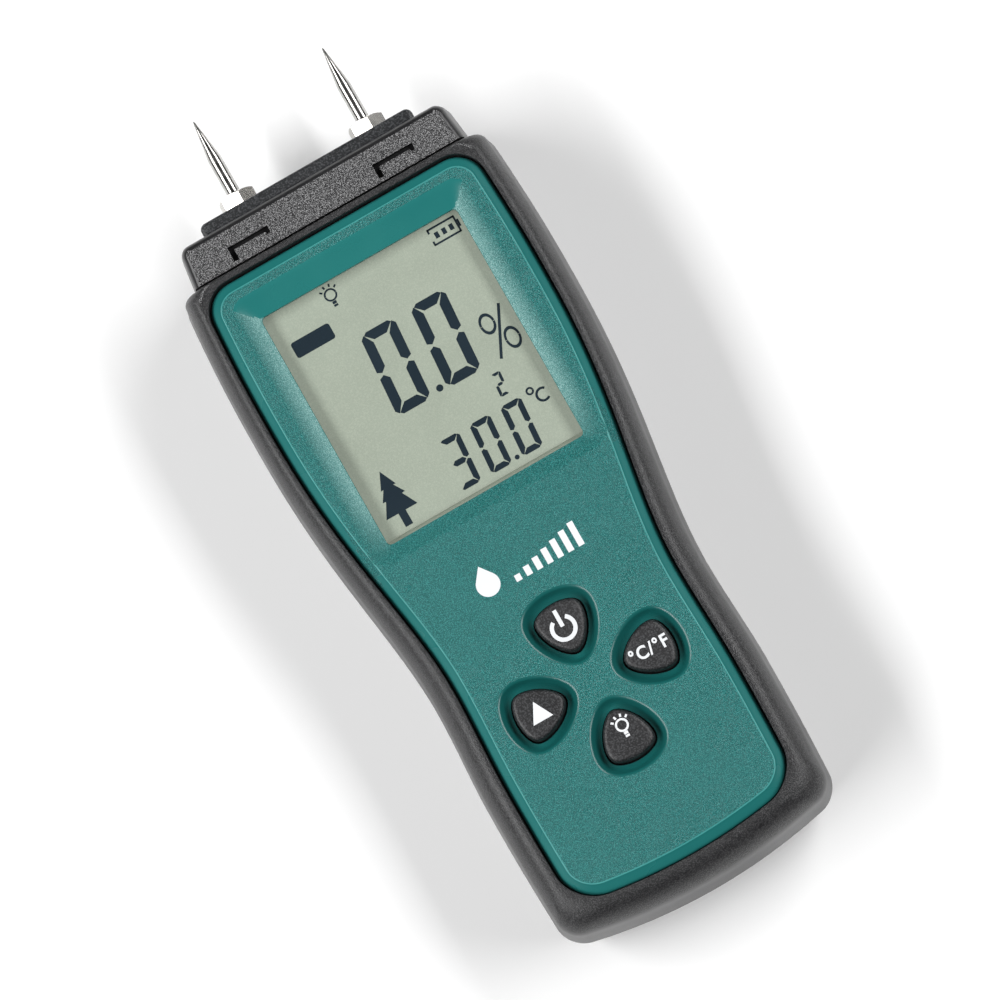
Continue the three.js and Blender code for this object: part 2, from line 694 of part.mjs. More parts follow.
place('front_cover', frontCover(), 'teal');
place('front_case', frontCase(), 'black');
place('rear_case', rearCase(), 'black');
place('battery_cover', batteryCover(), 'black');
place('electrode_block', electrodeBlock(), 'black');
for (const [name, side] of [['left', -1], ['right', 1]]) {
  place(`pin_${name}`, pin(side), 'steel');
  place(`pin_nut_${name}`, pinNut(side), 'nickel');
  place(`pin_socket_${name}`, pinSocket(side), 'brass');
  place(`pin_terminal_${name}`, pinTerminal(side), 'nickel');
}
place('window_lens', windowLens(), 'clear');
place('display_glass', displayGlass(), 'glass');
place('display_frame', displayFrame(), 'white');
place('backlight', backlight(), 'white');
place('display_connector', displayConnector(), 'rubber');
place('main_board', mainBoard(), 'board');
place('controller_chip', controllerChip(), 'epoxy');
place('temperature_sensor', temperatureSensor(), 'epoxy');
place('keypad_mat', keypadMat(), 'rubber');
for (const [name, turn] of Object.entries(keyTurns)) {
  place(`key_${name}`, keyCap(turn), 'rubber');
}
const cellWays = [1, -1, 1];
cellWays.forEach((way, i) => place(`battery_${i + 1}`, battery((i - 1) * cell.pitch, way), 'cell'));
const reach = cell.contactReach;
const outer = cell.pitch + reach;
place('contact_positive', contactPlate(-outer, -cell.pitch + reach, 1), 'nickel');
place('contact_bridge_top', join(contactPlate(-reach, outer, 1), contactSpring(0, 1)), 'nickel');
place('contact_bridge_bottom', join(contactPlate(-outer, reach, -1), contactSpring(-cell.pitch, -1)), 'nickel');
const negative = join(contactPlate(cell.pitch - reach, outer, -1), contactSpring(cell.pitch, -1));
place('contact_negative', negative, 'nickel');
caseScrews.forEach(([x, y], i) => place(`case_screw_${i + 1}`, screw(x, y, caseScrew), 'steel'));
boardScrews.forEach(([x, y], i) => place(`board_screw_${i + 1}`, screw(x, y, boardScrew), 'steel'));

export default meter;
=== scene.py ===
# Finished look of the pin moisture meter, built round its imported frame.
# It lies on its back, pins towards +Y.
import math

import bmesh
import bpy
from mathutils import Matrix, Vector


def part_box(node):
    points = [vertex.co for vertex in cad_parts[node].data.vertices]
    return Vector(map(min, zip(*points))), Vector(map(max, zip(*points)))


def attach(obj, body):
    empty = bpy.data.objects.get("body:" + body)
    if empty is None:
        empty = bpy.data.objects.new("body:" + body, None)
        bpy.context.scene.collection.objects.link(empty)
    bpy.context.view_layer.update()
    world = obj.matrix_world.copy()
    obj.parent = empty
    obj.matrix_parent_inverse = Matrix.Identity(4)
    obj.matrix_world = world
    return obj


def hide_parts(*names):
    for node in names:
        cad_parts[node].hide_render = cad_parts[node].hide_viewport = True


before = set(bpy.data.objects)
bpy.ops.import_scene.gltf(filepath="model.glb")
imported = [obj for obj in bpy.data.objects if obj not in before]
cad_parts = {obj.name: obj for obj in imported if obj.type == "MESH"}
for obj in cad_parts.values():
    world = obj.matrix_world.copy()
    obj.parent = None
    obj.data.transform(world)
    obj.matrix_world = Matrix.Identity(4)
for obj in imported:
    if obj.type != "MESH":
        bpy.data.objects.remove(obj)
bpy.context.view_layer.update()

mm = 0.001                    # sizes below are in millimetres, and places become metres as they are laid
frontLow, frontHigh = (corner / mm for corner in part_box("front_case"))
coverLow, coverHigh = (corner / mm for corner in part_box("front_cover"))

# Stations of the waisted outline, and how its two ends curve
form = {
    "headY": 27,
    "waistY": -30.4,
    "gripY": -50.1,
    "shoulderY": 51.5,
    "endSag": 0.005,
    "partingZ": frontLow.z - 0.15,
    "gap": 0.3,               # between the two case halves, and round the battery cover
    "wall": 2.2,
}
body = {
    "head": frontHigh.x,
    "waist": frontHigh.x - 4.75,
    "grip": frontHigh.x - 4,
    "top": form["shoulderY"],
    "bottom": frontLow.y,
    "topCorner": 2,
    "bottomCorner": 4,
}
panel = {
    "head": coverHigh.x + 0.15,
    "waist": coverHigh.x - 5.4,
    "grip": coverHigh.x - 4.85,
    "top": coverHigh.y + 0.15,
    "bottom": coverLow.y - 0.15,
    "topCorner": 5.5,
    "bottomCorner": 6,
}


# Mesh tools

def deselectAll():
    if bpy.context.object and bpy.context.object.mode != "OBJECT":
        bpy.ops.object.mode_set(mode="OBJECT")
    bpy.ops.object.select_all(action="DESELECT")


def activate(*pieces):
    deselectAll()
    for piece in pieces:
        piece.select_set(True)
    bpy.context.view_layer.objects.active = pieces[0]


def editAll(piece):
    activate(piece)
    bpy.ops.object.mode_set(mode="EDIT")
    bpy.ops.mesh.select_all(action="SELECT")


def settle(piece):
    # Leaves the place and turn of an object in its mesh
    activate(piece)
    bpy.ops.object.transform_apply(location=True, rotation=True, scale=True)


def loft(name, rings):
    # A filled circle is laid on the first ring, then pulled out and laid on each further one
    deselectAll()
    rings = [[Vector(point) * mm for point in ring] for ring in rings]
    bpy.ops.mesh.primitive_circle_add(vertices=len(rings[0]), radius=1, fill_type="NGON")
    piece = bpy.context.object
    piece.name = name
    for vertex, point in zip(piece.data.vertices, rings[0]):
        vertex.co = point
    editAll(piece)
    for before, after in zip(rings, rings[1:]):
        bpy.ops.mesh.extrude_region()
        follow = {tuple(point): target for point, target in zip(before, after)}
        shape = bmesh.from_edit_mesh(piece.data)
        for vertex in shape.verts:
            if vertex.select:
                vertex.co = follow[tuple(vertex.co)]
        bmesh.update_edit_mesh(piece.data)
    bpy.ops.mesh.select_all(action="SELECT")
    bpy.ops.mesh.normals_make_consistent(inside=False)
    bpy.ops.object.mode_set(mode="OBJECT")
    return piece


def block(name, low, high, rounding=0):
    deselectAll()
    middle = [(a + b) / 2 * mm for a, b in zip(low, high)]
    bpy.ops.mesh.primitive_cube_add(size=1, location=middle)
    piece = bpy.context.object
    piece.name = name
    piece.scale = [(b - a) * mm for a, b in zip(low, high)]
    settle(piece)
    if rounding:
        editAll(piece)
        bpy.ops.mesh.bevel(offset=rounding * mm, segments=3, affect="EDGES")
        bpy.ops.object.mode_set(mode="OBJECT")
    return piece


def turned(name, centre, stations, sides=40, turn=0.0):
    # Rings of [radius, place] about an axis along Y
    rings = []
    for radius, place in stations:
        ring = []
        for i in range(sides):
            angle = turn + 2 * math.pi * i / sides
            a, b = radius * math.cos(angle), radius * math.sin(angle)
            ring.append((centre[0] + a, place, centre[1] + b))
        rings.append(ring)
    return loft(name, rings)


def change(piece, tool, operation):
    activate(piece)
    bpy.ops.object.modifier_add(type="BOOLEAN")
    modifier = piece.modifiers[-1]
    modifier.operation = operation
    modifier.solver = "EXACT"
    modifier.object = tool
    bpy.ops.object.modifier_apply(modifier=modifier.name)
    bpy.data.objects.remove(tool)
    return piece


def carve(piece, *tools):
    for tool in tools:
        change(piece, tool, "DIFFERENCE")
    return piece


def weld(piece, *others):
    for other in others:
        change(piece, other, "UNION")
    return piece


def joinPieces(name, pieces):
    activate(*pieces)
    bpy.ops.object.join()
    piece = bpy.context.object
    piece.name = name
    return piece


meeting = 0.002               # corners closer than this are one


def closeUp(piece):
    # Joins corners that meet, drops flaps whose two faces lie on each other, and fills pinholes
    editAll(piece)
    bpy.ops.mesh.remove_doubles(threshold=meeting * mm)
    shape = bmesh.from_edit_mesh(piece.data)
    sharing = {}
    for face in shape.faces:
        sharing.setdefault(frozenset(face.verts), []).append(face)
    flaps = [face for faces in sharing.values() if len(faces) > 1 for face in faces]
    bmesh.ops.delete(shape, geom=flaps, context="FACES")
    bmesh.update_edit_mesh(piece.data)
    bpy.ops.mesh.select_all(action="SELECT")
    bpy.ops.mesh.fill_holes(sides=6)
    bpy.ops.object.mode_set(mode="OBJECT")


def smoothOver(piece, angle=32):
    # Smooth shading up to an angle, with the large flat faces kept flat
    closeUp(piece)
    bpy.ops.object.shade_smooth_by_angle(angle=math.radians(angle))
    bpy.ops.object.modifier_add(type="WEIGHTED_NORMAL")
    modifier = piece.modifiers[-1]
    modifier.keep_sharp = True
    modifier.weight = 80
    bpy.ops.object.modifier_apply(modifier=modifier.name)
    return piece


def dress(piece, bodyName, slotName, *materials):
    piece.data.materials.clear()
    for material in materials:
        piece.data.materials.append(material)
    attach(piece, bodyName)
    return piece


# Outlines

def smoothStep(t):
    return t * t * (3 - 2 * t)


def mix(a, b, t):
    return a + (b - a) * t


def sideAt(edge, y):
    # Half the width at a station: full head, narrow waist, slightly wider grip
    if y >= form["headY"]:
        return edge["head"] - 1.1 * ((y - form["headY"]) / (form["shoulderY"] - form["headY"])) ** 2
    if y >= form["waistY"]:
        along = ((form["headY"] - y) / (form["headY"] - form["waistY"])) ** 1.35
        return mix(edge["head"], edge["waist"], smoothStep(along))
    if y >= form["gripY"]:
        along = (form["waistY"] - y) / (form["waistY"] - form["gripY"])
        return mix(edge["waist"], edge["grip"], smoothStep(along))
    return edge["grip"] - 0.9 * ((form["gripY"] - y) / (form["gripY"] - body["bottom"])) ** 2


def endAt(edge, x):
    return edge["bottom"] + form["endSag"] * x * x


def cornerArc(start, corner, end, steps=10):
    handle = 0.552            # makes a cubic follow a circle
    first = [mix(a, b, handle) for a, b in zip(start, corner)]
    second = [mix(a, b, handle) for a, b in zip(end, corner)]
    points = []
    for i in range(steps + 1):
        t = i / steps
        weights = ((1 - t) ** 3, 3 * t * (1 - t) ** 2, 3 * t * t * (1 - t), t ** 3)
        corners = (start, first, second, end)
        points.append(tuple(sum(w * p[axis] for w, p in zip(weights, corners)) for axis in (0, 1)))
    return points


def outline(edge, z, sideSteps=56):
    lowX = edge["grip"] - 0.6 - edge["bottomCorner"]
    lowY = endAt(edge, edge["grip"] - 0.6) + edge["bottomCorner"]
    highY = edge["top"] - edge["topCorner"]
    endSteps = 6
    right = [(lowX * i / endSteps, endAt(edge, lowX * i / endSteps)) for i in range(endSteps)]
    low = (sideAt(edge, lowY), lowY)
    right += cornerArc((lowX, endAt(edge, lowX)), (low[0], endAt(edge, low[0])), low)
    for i in range(1, sideSteps):
        y = mix(lowY, highY, i / sideSteps)
        right.append((sideAt(edge, y), y))
    high = (sideAt(edge, highY), highY)
    right += cornerArc(high, (high[0], edge["top"]), (high[0] - edge["topCorner"], edge["top"]))
    left = [(-x, y) for x, y in reversed(right[1:])]
    return [(x, y, z) for x, y in right + left]


def inset(edge, distance, topShare=1.0):
    moved = {side: edge[side] - distance for side in ("head", "waist", "grip")}
    moved["top"] = edge["top"] - distance * topShare
    moved["bottom"] = edge["bottom"] + distance
    moved["topCorner"] = max(edge["topCorner"] - distance, 0.8)
    moved["bottomCorner"] = max(edge["bottomCorner"] - distance, 1.2)
    return moved


def blendEdges(a, b, t):
    return {key: mix(a[key], b[key], t) for key in a}


def roundedBox(halfWidth, low, high, corner, z, steps=6, centreX=0.0):
    points = []
    for quarter, (sideX, sideY) in enumerate(((1, high), (-1, high), (-1, low), (1, low))):
        middleX = sideX * (halfWidth - corner)
        middleY = sideY - corner if sideY == high else sideY + corner
        for i in range(steps + 1):
            angle = (quarter + i / steps) * math.pi / 2
            x = centreX + middleX + corner * math.cos(angle)
            points.append((x, middleY + corner * math.sin(angle), z))
    return points


def circleRing(x, y, radius, z, steps=24):
    return [
        (x + radius * math.cos(2 * math.pi * i / steps), y + radius * math.sin(2 * math.pi * i / steps), z)
        for i in range(steps)
    ]


def post(x, y, radius, lowZ, highZ):
    return loft("post", [circleRing(x, y, radius, lowZ), circleRing(x, y, radius, highZ)])


# Shader tools

def newMaterial(name):
    material = bpy.data.materials.new(name)
    material.use_nodes = True
    tree = material.node_tree
    return material, tree, tree.nodes["Principled BSDF"]


def setInputs(node, values):
    for label, value in values.items():
        node.inputs[label].default_value = value


def placeAxes(tree, kind="Object"):
    split = tree.nodes.new("ShaderNodeSeparateXYZ")
    tree.links.new(tree.nodes.new("ShaderNodeTexCoord").outputs[kind], split.inputs["Vector"])
    return split.outputs


def worked(tree, operation, *sources):
    made = tree.nodes.new("ShaderNodeMath")
    made.operation = operation
    for slotIn, source in zip(made.inputs, sources):
        if isinstance(source, (int, float)):
            slotIn.default_value = source
        else:
            tree.links.new(source, slotIn)
    return made.outputs["Value"]


def mapRange(tree, source, low, high, lowOut=0.0, highOut=1.0, kind="LINEAR"):
    made = tree.nodes.new("ShaderNodeMapRange")
    made.interpolation_type = kind
    setInputs(made, {"From Min": low, "From Max": high, "To Min": lowOut, "To Max": highOut})
    tree.links.new(source, made.inputs["Value"])
    return made.outputs["Result"]


# Camera, floor and lights

camera = {
    "roll": 29.61,
    "tilt": -10.0,
    "lean": -0.96,
    "distance": 1700,
    "shift": (-0.267, 2.811),
    "target": (0, -8.7, 27),
    "lens": 363.74,
}


def makeCamera():
    turn = Matrix.Rotation(math.radians(camera["roll"]), 3, "Z")
    turn = turn @ Matrix.Rotation(math.radians(camera["tilt"]), 3, "X")
    turn = turn @ Matrix.Rotation(math.radians(camera["lean"]), 3, "Y")
    back = turn.transposed()
    place = back @ Vector((*camera["shift"], camera["distance"])) + Vector(camera["target"])
    bpy.ops.object.camera_add(location=place * mm)
    made = bpy.context.object
    made.rotation_mode = "QUATERNION"
    made.rotation_quaternion = back.to_quaternion()
    made.data.lens = camera["lens"]
    made.data.clip_start = 0.01
    made.data.clip_end = 20
    bpy.context.scene.camera = made


studio = {
    "floorSide": 4.0,
    "floorColour": (0.98, 0.98, 0.98, 1),
    "horizon": 0.16,          # brightness of the air near the floor, so that steep edges keep their depth
    "overhead": 0.74,         # and straight above
    "turnsBetween": (0.3, 0.8),
    "lamps": (
        ((-0.76, 0.08, 0.82), (1.4, 0.40), 14.5),
        ((0.76, 0.0, 0.82), (1.4, 0.40), 12.5),
    ),
}


def makeStudio():
    deselectAll()
    bpy.ops.mesh.primitive_plane_add(size=studio["floorSide"], location=(0, 0, 0))
    floor = bpy.context.object
    floor.name = "floor"
    paint, _, shader = newMaterial("palePaper")
    setInputs(shader, {"Base Color": studio["floorColour"], "Roughness": 0.9, "Specular IOR Level": 0.1})
    floor.data.materials.append(paint)
    world = bpy.data.worlds.new("studioAir")
    world.use_nodes = True
    tree = world.node_tree
    height = placeAxes(tree, "Generated")["Z"]
    levels = studio["horizon"], studio["overhead"]
    air = mapRange(tree, height, *studio["turnsBetween"], *levels, "SMOOTHSTEP")
    tree.links.new(air, tree.nodes["Background"].inputs["Strength"])
    bpy.context.scene.world = world
    for place, size, power in studio["lamps"]:
        bpy.ops.object.light_add(type="AREA", location=place)
        lamp = bpy.context.object
        lamp.data.shape = "RECTANGLE"
        lamp.data.size, lamp.data.size_y = size
        lamp.data.energy = power
        lamp.rotation_mode = "QUATERNION"
        lamp.rotation_quaternion = Vector(place).to_track_quat("Z", "Y")
    bpy.context.scene.view_settings.view_transform = "Standard"


makeCamera()
makeStudio()
print("camera and studio made")


# Shared surface effects

def newGroup(name, inputs, outputs):
    group = bpy.data.node_groups.new(name, "ShaderNodeTree")
    for label, value in inputs:
        made = group.interface.new_socket(label, in_out="INPUT", socket_type="NodeSocketFloat")
        made.default_value = value
    for label in outputs:
        group.interface.new_socket(label, in_out="OUTPUT", socket_type="NodeSocketFloat")
    start = group.nodes.new("NodeGroupInput")
    end = group.nodes.new("NodeGroupOutput")
    return group, start, end


def noiseAt(tree, vector, scale, detail, roughness):
    made = tree.nodes.new("ShaderNodeTexNoise")
    setInputs(made, {"Detail": detail, "Roughness": roughness})
    tree.links.new(scale, made.inputs["Scale"])
    tree.links.new(vector, made.inputs["Vector"])
    return made.outputs["Fac"]


def makeGrain():
    # Fine leathery moulding texture: a height, and a mask of its tops, which take a painted glint colour
    group, start, end = newGroup("mouldedGrain", (("Scale", 2600.0),), ("Height", "GlintTops"))
    place = group.nodes.new("ShaderNodeTexCoord").outputs["Object"]
    wrinkles = noiseAt(group, place, start.outputs["Scale"], 2.0, 0.55)
    pebbles = group.nodes.new("ShaderNodeTexVoronoi")
    pebbles.feature = "SMOOTH_F1"
    pebbles.inputs["Smoothness"].default_value = 0.8
    group.links.new(start.outputs["Scale"], pebbles.inputs["Scale"])
    group.links.new(place, pebbles.inputs["Vector"])
    rounds = mapRange(group, pebbles.outputs["Distance"], 0.1, 0.8, 1.0, 0.0)
    both = worked(group, "MULTIPLY_ADD", rounds, 0.35, wrinkles)
    group.links.new(both, end.inputs["Height"])
    group.links.new(mapRange(group, both, 0.64, 0.82), end.inputs["GlintTops"])
    return group


def makeUnevenness():
    # Slow change over the surface, as from handling and moulding
    group, start, end = newGroup("unevenness", (("Scale", 60.0),), ("Patches",))
    place = group.nodes.new("ShaderNodeTexCoord").outputs["Object"]
    patches = noiseAt(group, place, start.outputs["Scale"], 3.0, 0.55)
    group.links.new(mapRange(group, patches, 0.3, 0.7), end.inputs["Patches"])
    return group


grainGroup = makeGrain()
unevenGroup = makeUnevenness()


def useGroup(tree, group, scale):
    made = tree.nodes.new("ShaderNodeGroup")
    made.node_tree = group
    made.inputs["Scale"].default_value = scale
    return made.outputs


def mixColours(tree, factor, first, second):
    made = tree.nodes.new("ShaderNodeMix")
    made.data_type = "RGBA"
    for side, colour in (("A", first), ("B", second)):
        slotIn = [s for s in made.inputs if s.name == side and s.type == "RGBA"][0]
        if isinstance(colour, tuple):
            slotIn.default_value = (*colour, 1)
        else:
            tree.links.new(colour, slotIn)
    tree.links.new(factor, [s for s in made.inputs if s.name == "Factor" and s.type == "VALUE"][0])
    return [s for s in made.outputs if s.type == "RGBA"][0]


def grainedColour(tree, patches, grain, settings):
    # Two slowly changing tones, and a lighter third painted on the tops of the grain as glints
    slow = mixColours(tree, patches, settings["colour"], settings.get("patchColour", settings["colour"]))
    if "paintedGlintColour" not in settings:
        return slow
    # share of the painted glint colour laid on the grain's tops
    share = mapRange(tree, grain["GlintTops"], 0, 1, 0, settings.get("topShare", 1.0))
    return mixColours(tree, share, slow, settings["paintedGlintColour"])


# Where the dish's side slopes carry a painted highlight, lighter beside the window
slopeHighlightFade = {
    "across": (19.6, 22.6),   # from the window to the outer edge of the dish
    "along": (-5, 5),         # up from its lower corners
}


def highlightNearWindow(tree):
    # 1 beside the window, falling to 0 at the outer edge of the dish and at its lower corners: where the
    # painted highlight on the dish's side slopes lies
    axes = placeAxes(tree)
    near, far = (x * mm for x in slopeHighlightFade["across"])
    low, high = (y * mm for y in slopeHighlightFade["along"])
    beside = mapRange(tree, worked(tree, "ABSOLUTE", axes["X"]), near, far, 1, 0)
    return worked(tree, "MULTIPLY", beside, mapRange(tree, axes["Y"], low, high))


def finishOf(name, settings):
    # One moulded, painted or plated finish: two tones, roughness that varies, a grain if it has one, and
    # painted glints on its tops
    material, tree, shader = newMaterial(name)
    shine = settings.get("specular", 0.5)
    setInputs(shader, {"Metallic": settings.get("metal", 0.0), "Specular IOR Level": shine})
    patches = useGroup(tree, unevenGroup, settings.get("patchScale", 60.0))["Patches"]
    grain = useGroup(tree, grainGroup, settings.get("grainScale", 2600.0))
    slow = grainedColour(tree, patches, grain, settings)
    # Painted highlight on the dish's side slopes: lighter beside the window, fading out to the plain
    # grained finish
    if "fadesTo" in settings:
        outer = grainedColour(tree, patches, grain, finishes[settings["fadesTo"]])
        slow = mixColours(tree, highlightNearWindow(tree), outer, slow)
    tree.links.new(slow, shader.inputs["Base Color"])
    # Glow in the finish's own colour; on the display film it stands for the backlight and also fills the
    # shadow of the window frame
    if "glow" in settings:
        tree.links.new(slow, shader.inputs["Emission Color"])
        setInputs(shader, {"Emission Strength": settings["glow"]})
    low, high = settings["roughness"]
    tree.links.new(mapRange(tree, patches, 0, 1, low, high), shader.inputs["Roughness"])
    if settings.get("grainDepth"):
        bump = tree.nodes.new("ShaderNodeBump")
        strength = settings.get("grainStrength", 0.6)
        setInputs(bump, {"Strength": strength, "Distance": settings["grainDepth"] * mm})
        tree.links.new(grain["Height"], bump.inputs["Height"])
        tree.links.new(bump.outputs["Normal"], shader.inputs["Normal"])
    return material


def metal(colour, patchColour, roughness, patchScale):
    return {
        "colour": colour,
        "patchColour": patchColour,
        "metal": 1.0,
        "roughness": roughness,
        "patchScale": patchScale,
    }


coverGrain = {
    "specular": 0.32,
    "roughness": (0.26, 0.32),
    "grainDepth": 0.14,
    "grainStrength": 1.0,
    "grainScale": 6500.0,
}
# The colours for the grain's tops below are painted highlights: glints laid as lighter colour in place of
# sparkle
finishes = {
    "tealGrained": {
        **coverGrain,
        "colour": (0.005, 0.100, 0.094),
        "patchColour": (0.007, 0.112, 0.105),
        "paintedGlintColour": (0.045, 0.270, 0.258),
    },
    # A lighter copy of the grained teal: painted highlight on the dish's side slopes
    "tealSlope": {
        **coverGrain,
        "colour": (0.100, 0.270, 0.255),
        "patchColour": (0.120, 0.300, 0.285),
        "paintedGlintColour": (0.300, 0.520, 0.500),
        "fadesTo": "tealGrained",
    },
    # Lighter teal for the fine ridge: a painted highlight line along it
    "tealEdge": {
        "colour": (0.045, 0.270, 0.255),
        "patchColour": (0.060, 0.300, 0.285),
        "roughness": (0.30, 0.36),
    },
    "tealSmooth": {
        "colour": (0.014, 0.160, 0.152),
        "patchColour": (0.018, 0.174, 0.164),
        "roughness": (0.24, 0.30),
        "grainDepth": 0.008,
        "grainScale": 4200.0,
    },
    # Darker teal for the key recesses: painted shade in the hollows round the caps
    "tealRecess": {
        "colour": (0.006, 0.100, 0.094),
        "patchColour": (0.008, 0.110, 0.103),
        "roughness": (0.26, 0.32),
    },
    "blackGrained": {
        "colour": (0.004, 0.004, 0.005),
        "patchColour": (0.006, 0.006, 0.007),
        "paintedGlintColour": (0.300, 0.300, 0.305),
        "roughness": (0.26, 0.32),
        "grainDepth": 0.18,
        "grainStrength": 1.0,
        "grainScale": 5600.0,
    },
    "blackRim": {
        "colour": (0.007, 0.007, 0.008),
        "patchColour": (0.010, 0.010, 0.011),
        "paintedGlintColour": (0.050, 0.050, 0.052),
        "roughness": (0.34, 0.42),
        "grainDepth": 0.07,
        "grainStrength": 1.0,
        "grainScale": 5200.0,
    },
    "blackSmooth": {
        "colour": (0.010, 0.010, 0.011),
        "patchColour": (0.014, 0.014, 0.015),
        "paintedGlintColour": (0.024, 0.024, 0.025),
        "topShare": 0.6,
        "roughness": (0.30, 0.38),
        "grainDepth": 0.018,
        "grainScale": 3000.0,
    },
    "blockPlastic": {
        "colour": (0.008, 0.009, 0.010),
        "patchColour": (0.012, 0.013, 0.015),
        "paintedGlintColour": (0.055, 0.058, 0.062),
        "roughness": (0.36, 0.44),
        "grainDepth": 0.12,
        "grainScale": 3000.0,
    },
    "keyRubber": {
        "colour": (0.009, 0.009, 0.010),
        "patchColour": (0.016, 0.016, 0.017),
        "paintedGlintColour": (0.050, 0.051, 0.054),
        "roughness": (0.40, 0.50),
        "grainDepth": 0.08,
        "grainScale": 3600.0,
    },
    "printWhite": {
        "colour": (0.80, 0.82, 0.84),
        "patchColour": (0.72, 0.74, 0.76),
        "roughness": (0.5, 0.6),
    },
    "polishedNickel": metal((0.80, 0.78, 0.74), (0.74, 0.72, 0.68), (0.20, 0.28), 300.0),
    "needleSteel": metal((0.60, 0.59, 0.57), (0.44, 0.43, 0.42), (0.14, 0.26), 700.0),
    "springSteel": metal((0.56, 0.55, 0.53), (0.46, 0.45, 0.43), (0.24, 0.36), 500.0),
    "turnedBrass": metal((0.60, 0.42, 0.14), (0.50, 0.34, 0.11), (0.22, 0.34), 500.0),
    "screwSteel": metal((0.30, 0.30, 0.31), (0.20, 0.20, 0.21), (0.30, 0.42), 800.0),
    "segmentInk": {
        "colour": (0.008, 0.018, 0.028),
        "patchColour": (0.012, 0.024, 0.036),
        "specular": 0.2,
        "roughness": (0.45, 0.52),
    },
    "displayFilm": {
        "colour": (0.245, 0.275, 0.225),
        "patchColour": (0.255, 0.287, 0.235),
        "paintedGlintColour": (0.33, 0.36, 0.295),
        "topShare": 0.35,
        # Glow of the backlight, set strong enough that it also lifts the shadow the window frame casts on
        # the film
        "glow": 0.55,
        "patchScale": 40.0,
        "grainScale": 3600.0,
        "specular": 0.3,
        "roughness": (0.30, 0.36),
    },
    "whitePlastic": {
        "colour": (0.70, 0.70, 0.68),
        "patchColour": (0.64, 0.64, 0.62),
        "roughness": (0.4, 0.5),
        "grainDepth": 0.01,
    },
    "epoxyBlack": {
        "colour": (0.010, 0.010, 0.011),
        "patchColour": (0.020, 0.020, 0.021),
        "roughness": (0.16, 0.30),
        "patchScale": 250.0,
    },
    "contactRubber": {
        "colour": (0.16, 0.16, 0.17),
        "patchColour": (0.10, 0.10, 0.11),
        "roughness": (0.6, 0.7),
        "patchScale": 1400.0,
    },
    "solderMask": {
        "colour": (0.010, 0.085, 0.035),
        "patchColour": (0.020, 0.130, 0.055),
        "roughness": (0.28, 0.40),
        "patchScale": 700.0,
    },
}
materials = {name: finishOf(name, settings) for name, settings in finishes.items()}


def makeLensFinish():
    # Thin clear sheet with a faint haze
    material, tree, shader = newMaterial("clearLens")
    setInputs(shader, {"Base Color": (0.02, 0.03, 0.03, 1)})
    patches = useGroup(tree, unevenGroup, 120.0)["Patches"]
    tree.links.new(mapRange(tree, patches, 0, 1, 0.04, 0.09), shader.inputs["Roughness"])
    tree.links.new(mapRange(tree, patches, 0, 1, 0.03, 0.05), shader.inputs["Alpha"])
    return material


cellWrap = {
    "sleeve": (0.020, 0.050, 0.150),
    "band": (0.62, 0.40, 0.10),
    "metal": (0.62, 0.61, 0.59),
    "bandShare": 0.26,        # of the length, from the raised end
    "bareEnd": 1.0,
    "soft": 0.05,             # width over which one colour gives way to the next
    "roughness": 0.32,
}


def makeCellFinish(name, low, high, raisedHigh):
    # Printed sleeve in two colours, with bare metal at both ends
    material, tree, shader = newMaterial(name)
    setInputs(shader, {"Coat Weight": 0.4})
    along = placeAxes(tree)["Y"]
    share = (high - low) * cellWrap["bandShare"]
    soft, bareEnd = cellWrap["soft"] * mm, cellWrap["bareEnd"] * mm
    edge, step = (high - share, soft) if raisedHigh else (low + share, -soft)
    banded = mapRange(tree, along, edge, edge + step)
    lowEnd = mapRange(tree, along, low + bareEnd, low + bareEnd - soft)
    highEnd = mapRange(tree, along, high - bareEnd, high - bareEnd + soft)
    bare = worked(tree, "MAXIMUM", lowEnd, highEnd)
    printed = mixColours(tree, banded, cellWrap["sleeve"], cellWrap["band"])
    tree.links.new(mixColours(tree, bare, printed, cellWrap["metal"]), shader.inputs["Base Color"])
    tree.links.new(bare, shader.inputs["Metallic"])
    patches = useGroup(tree, unevenGroup, 300.0)["Patches"]
    spread = (cellWrap["roughness"], cellWrap["roughness"] + 0.12)
    tree.links.new(mapRange(tree, patches, 0, 1, *spread), shader.inputs["Roughness"])
    return material


materials["clearLens"] = makeLensFinish()
for number in (1, 2, 3):
    cellLow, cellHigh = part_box(f"battery_{number}")
    materials[f"cell{number}"] = makeCellFinish(f"cell{number}", cellLow.y, cellHigh.y, number != 2)
print("finishes mixed:", len(materials))


# Frame nodes whose shape is already right keep their mesh and take a finish

keptNodes = {
    "window_lens": "clearLens",
    "display_glass": "displayFilm",
    "display_frame": "whitePlastic",
    "backlight": "whitePlastic",
    "display_connector": "contactRubber",
    "main_board": "solderMask",
    "controller_chip": "epoxyBlack",
    "temperature_sensor": "epoxyBlack",
    "keypad_mat": "keyRubber",
    "pin_socket": "turnedBrass",
    "pin_terminal": "springSteel",
    "contact": "springSteel",
    "case_screw": "screwSteel",
    "board_screw": "screwSteel",
}


def finishKeptNodes():
    for node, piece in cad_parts.items():
        for start, finish in keptNodes.items():
            if node.startswith(start):
                piece.data.materials.clear()
                piece.data.materials.append(materials[finish])


finishKeptNodes()
print("kept nodes finished")


# Front cover: bevelled edge with a fine ridge, dished window surround, key recesses.
# Rows of pairs give how far in or out a ring lies, and its height.

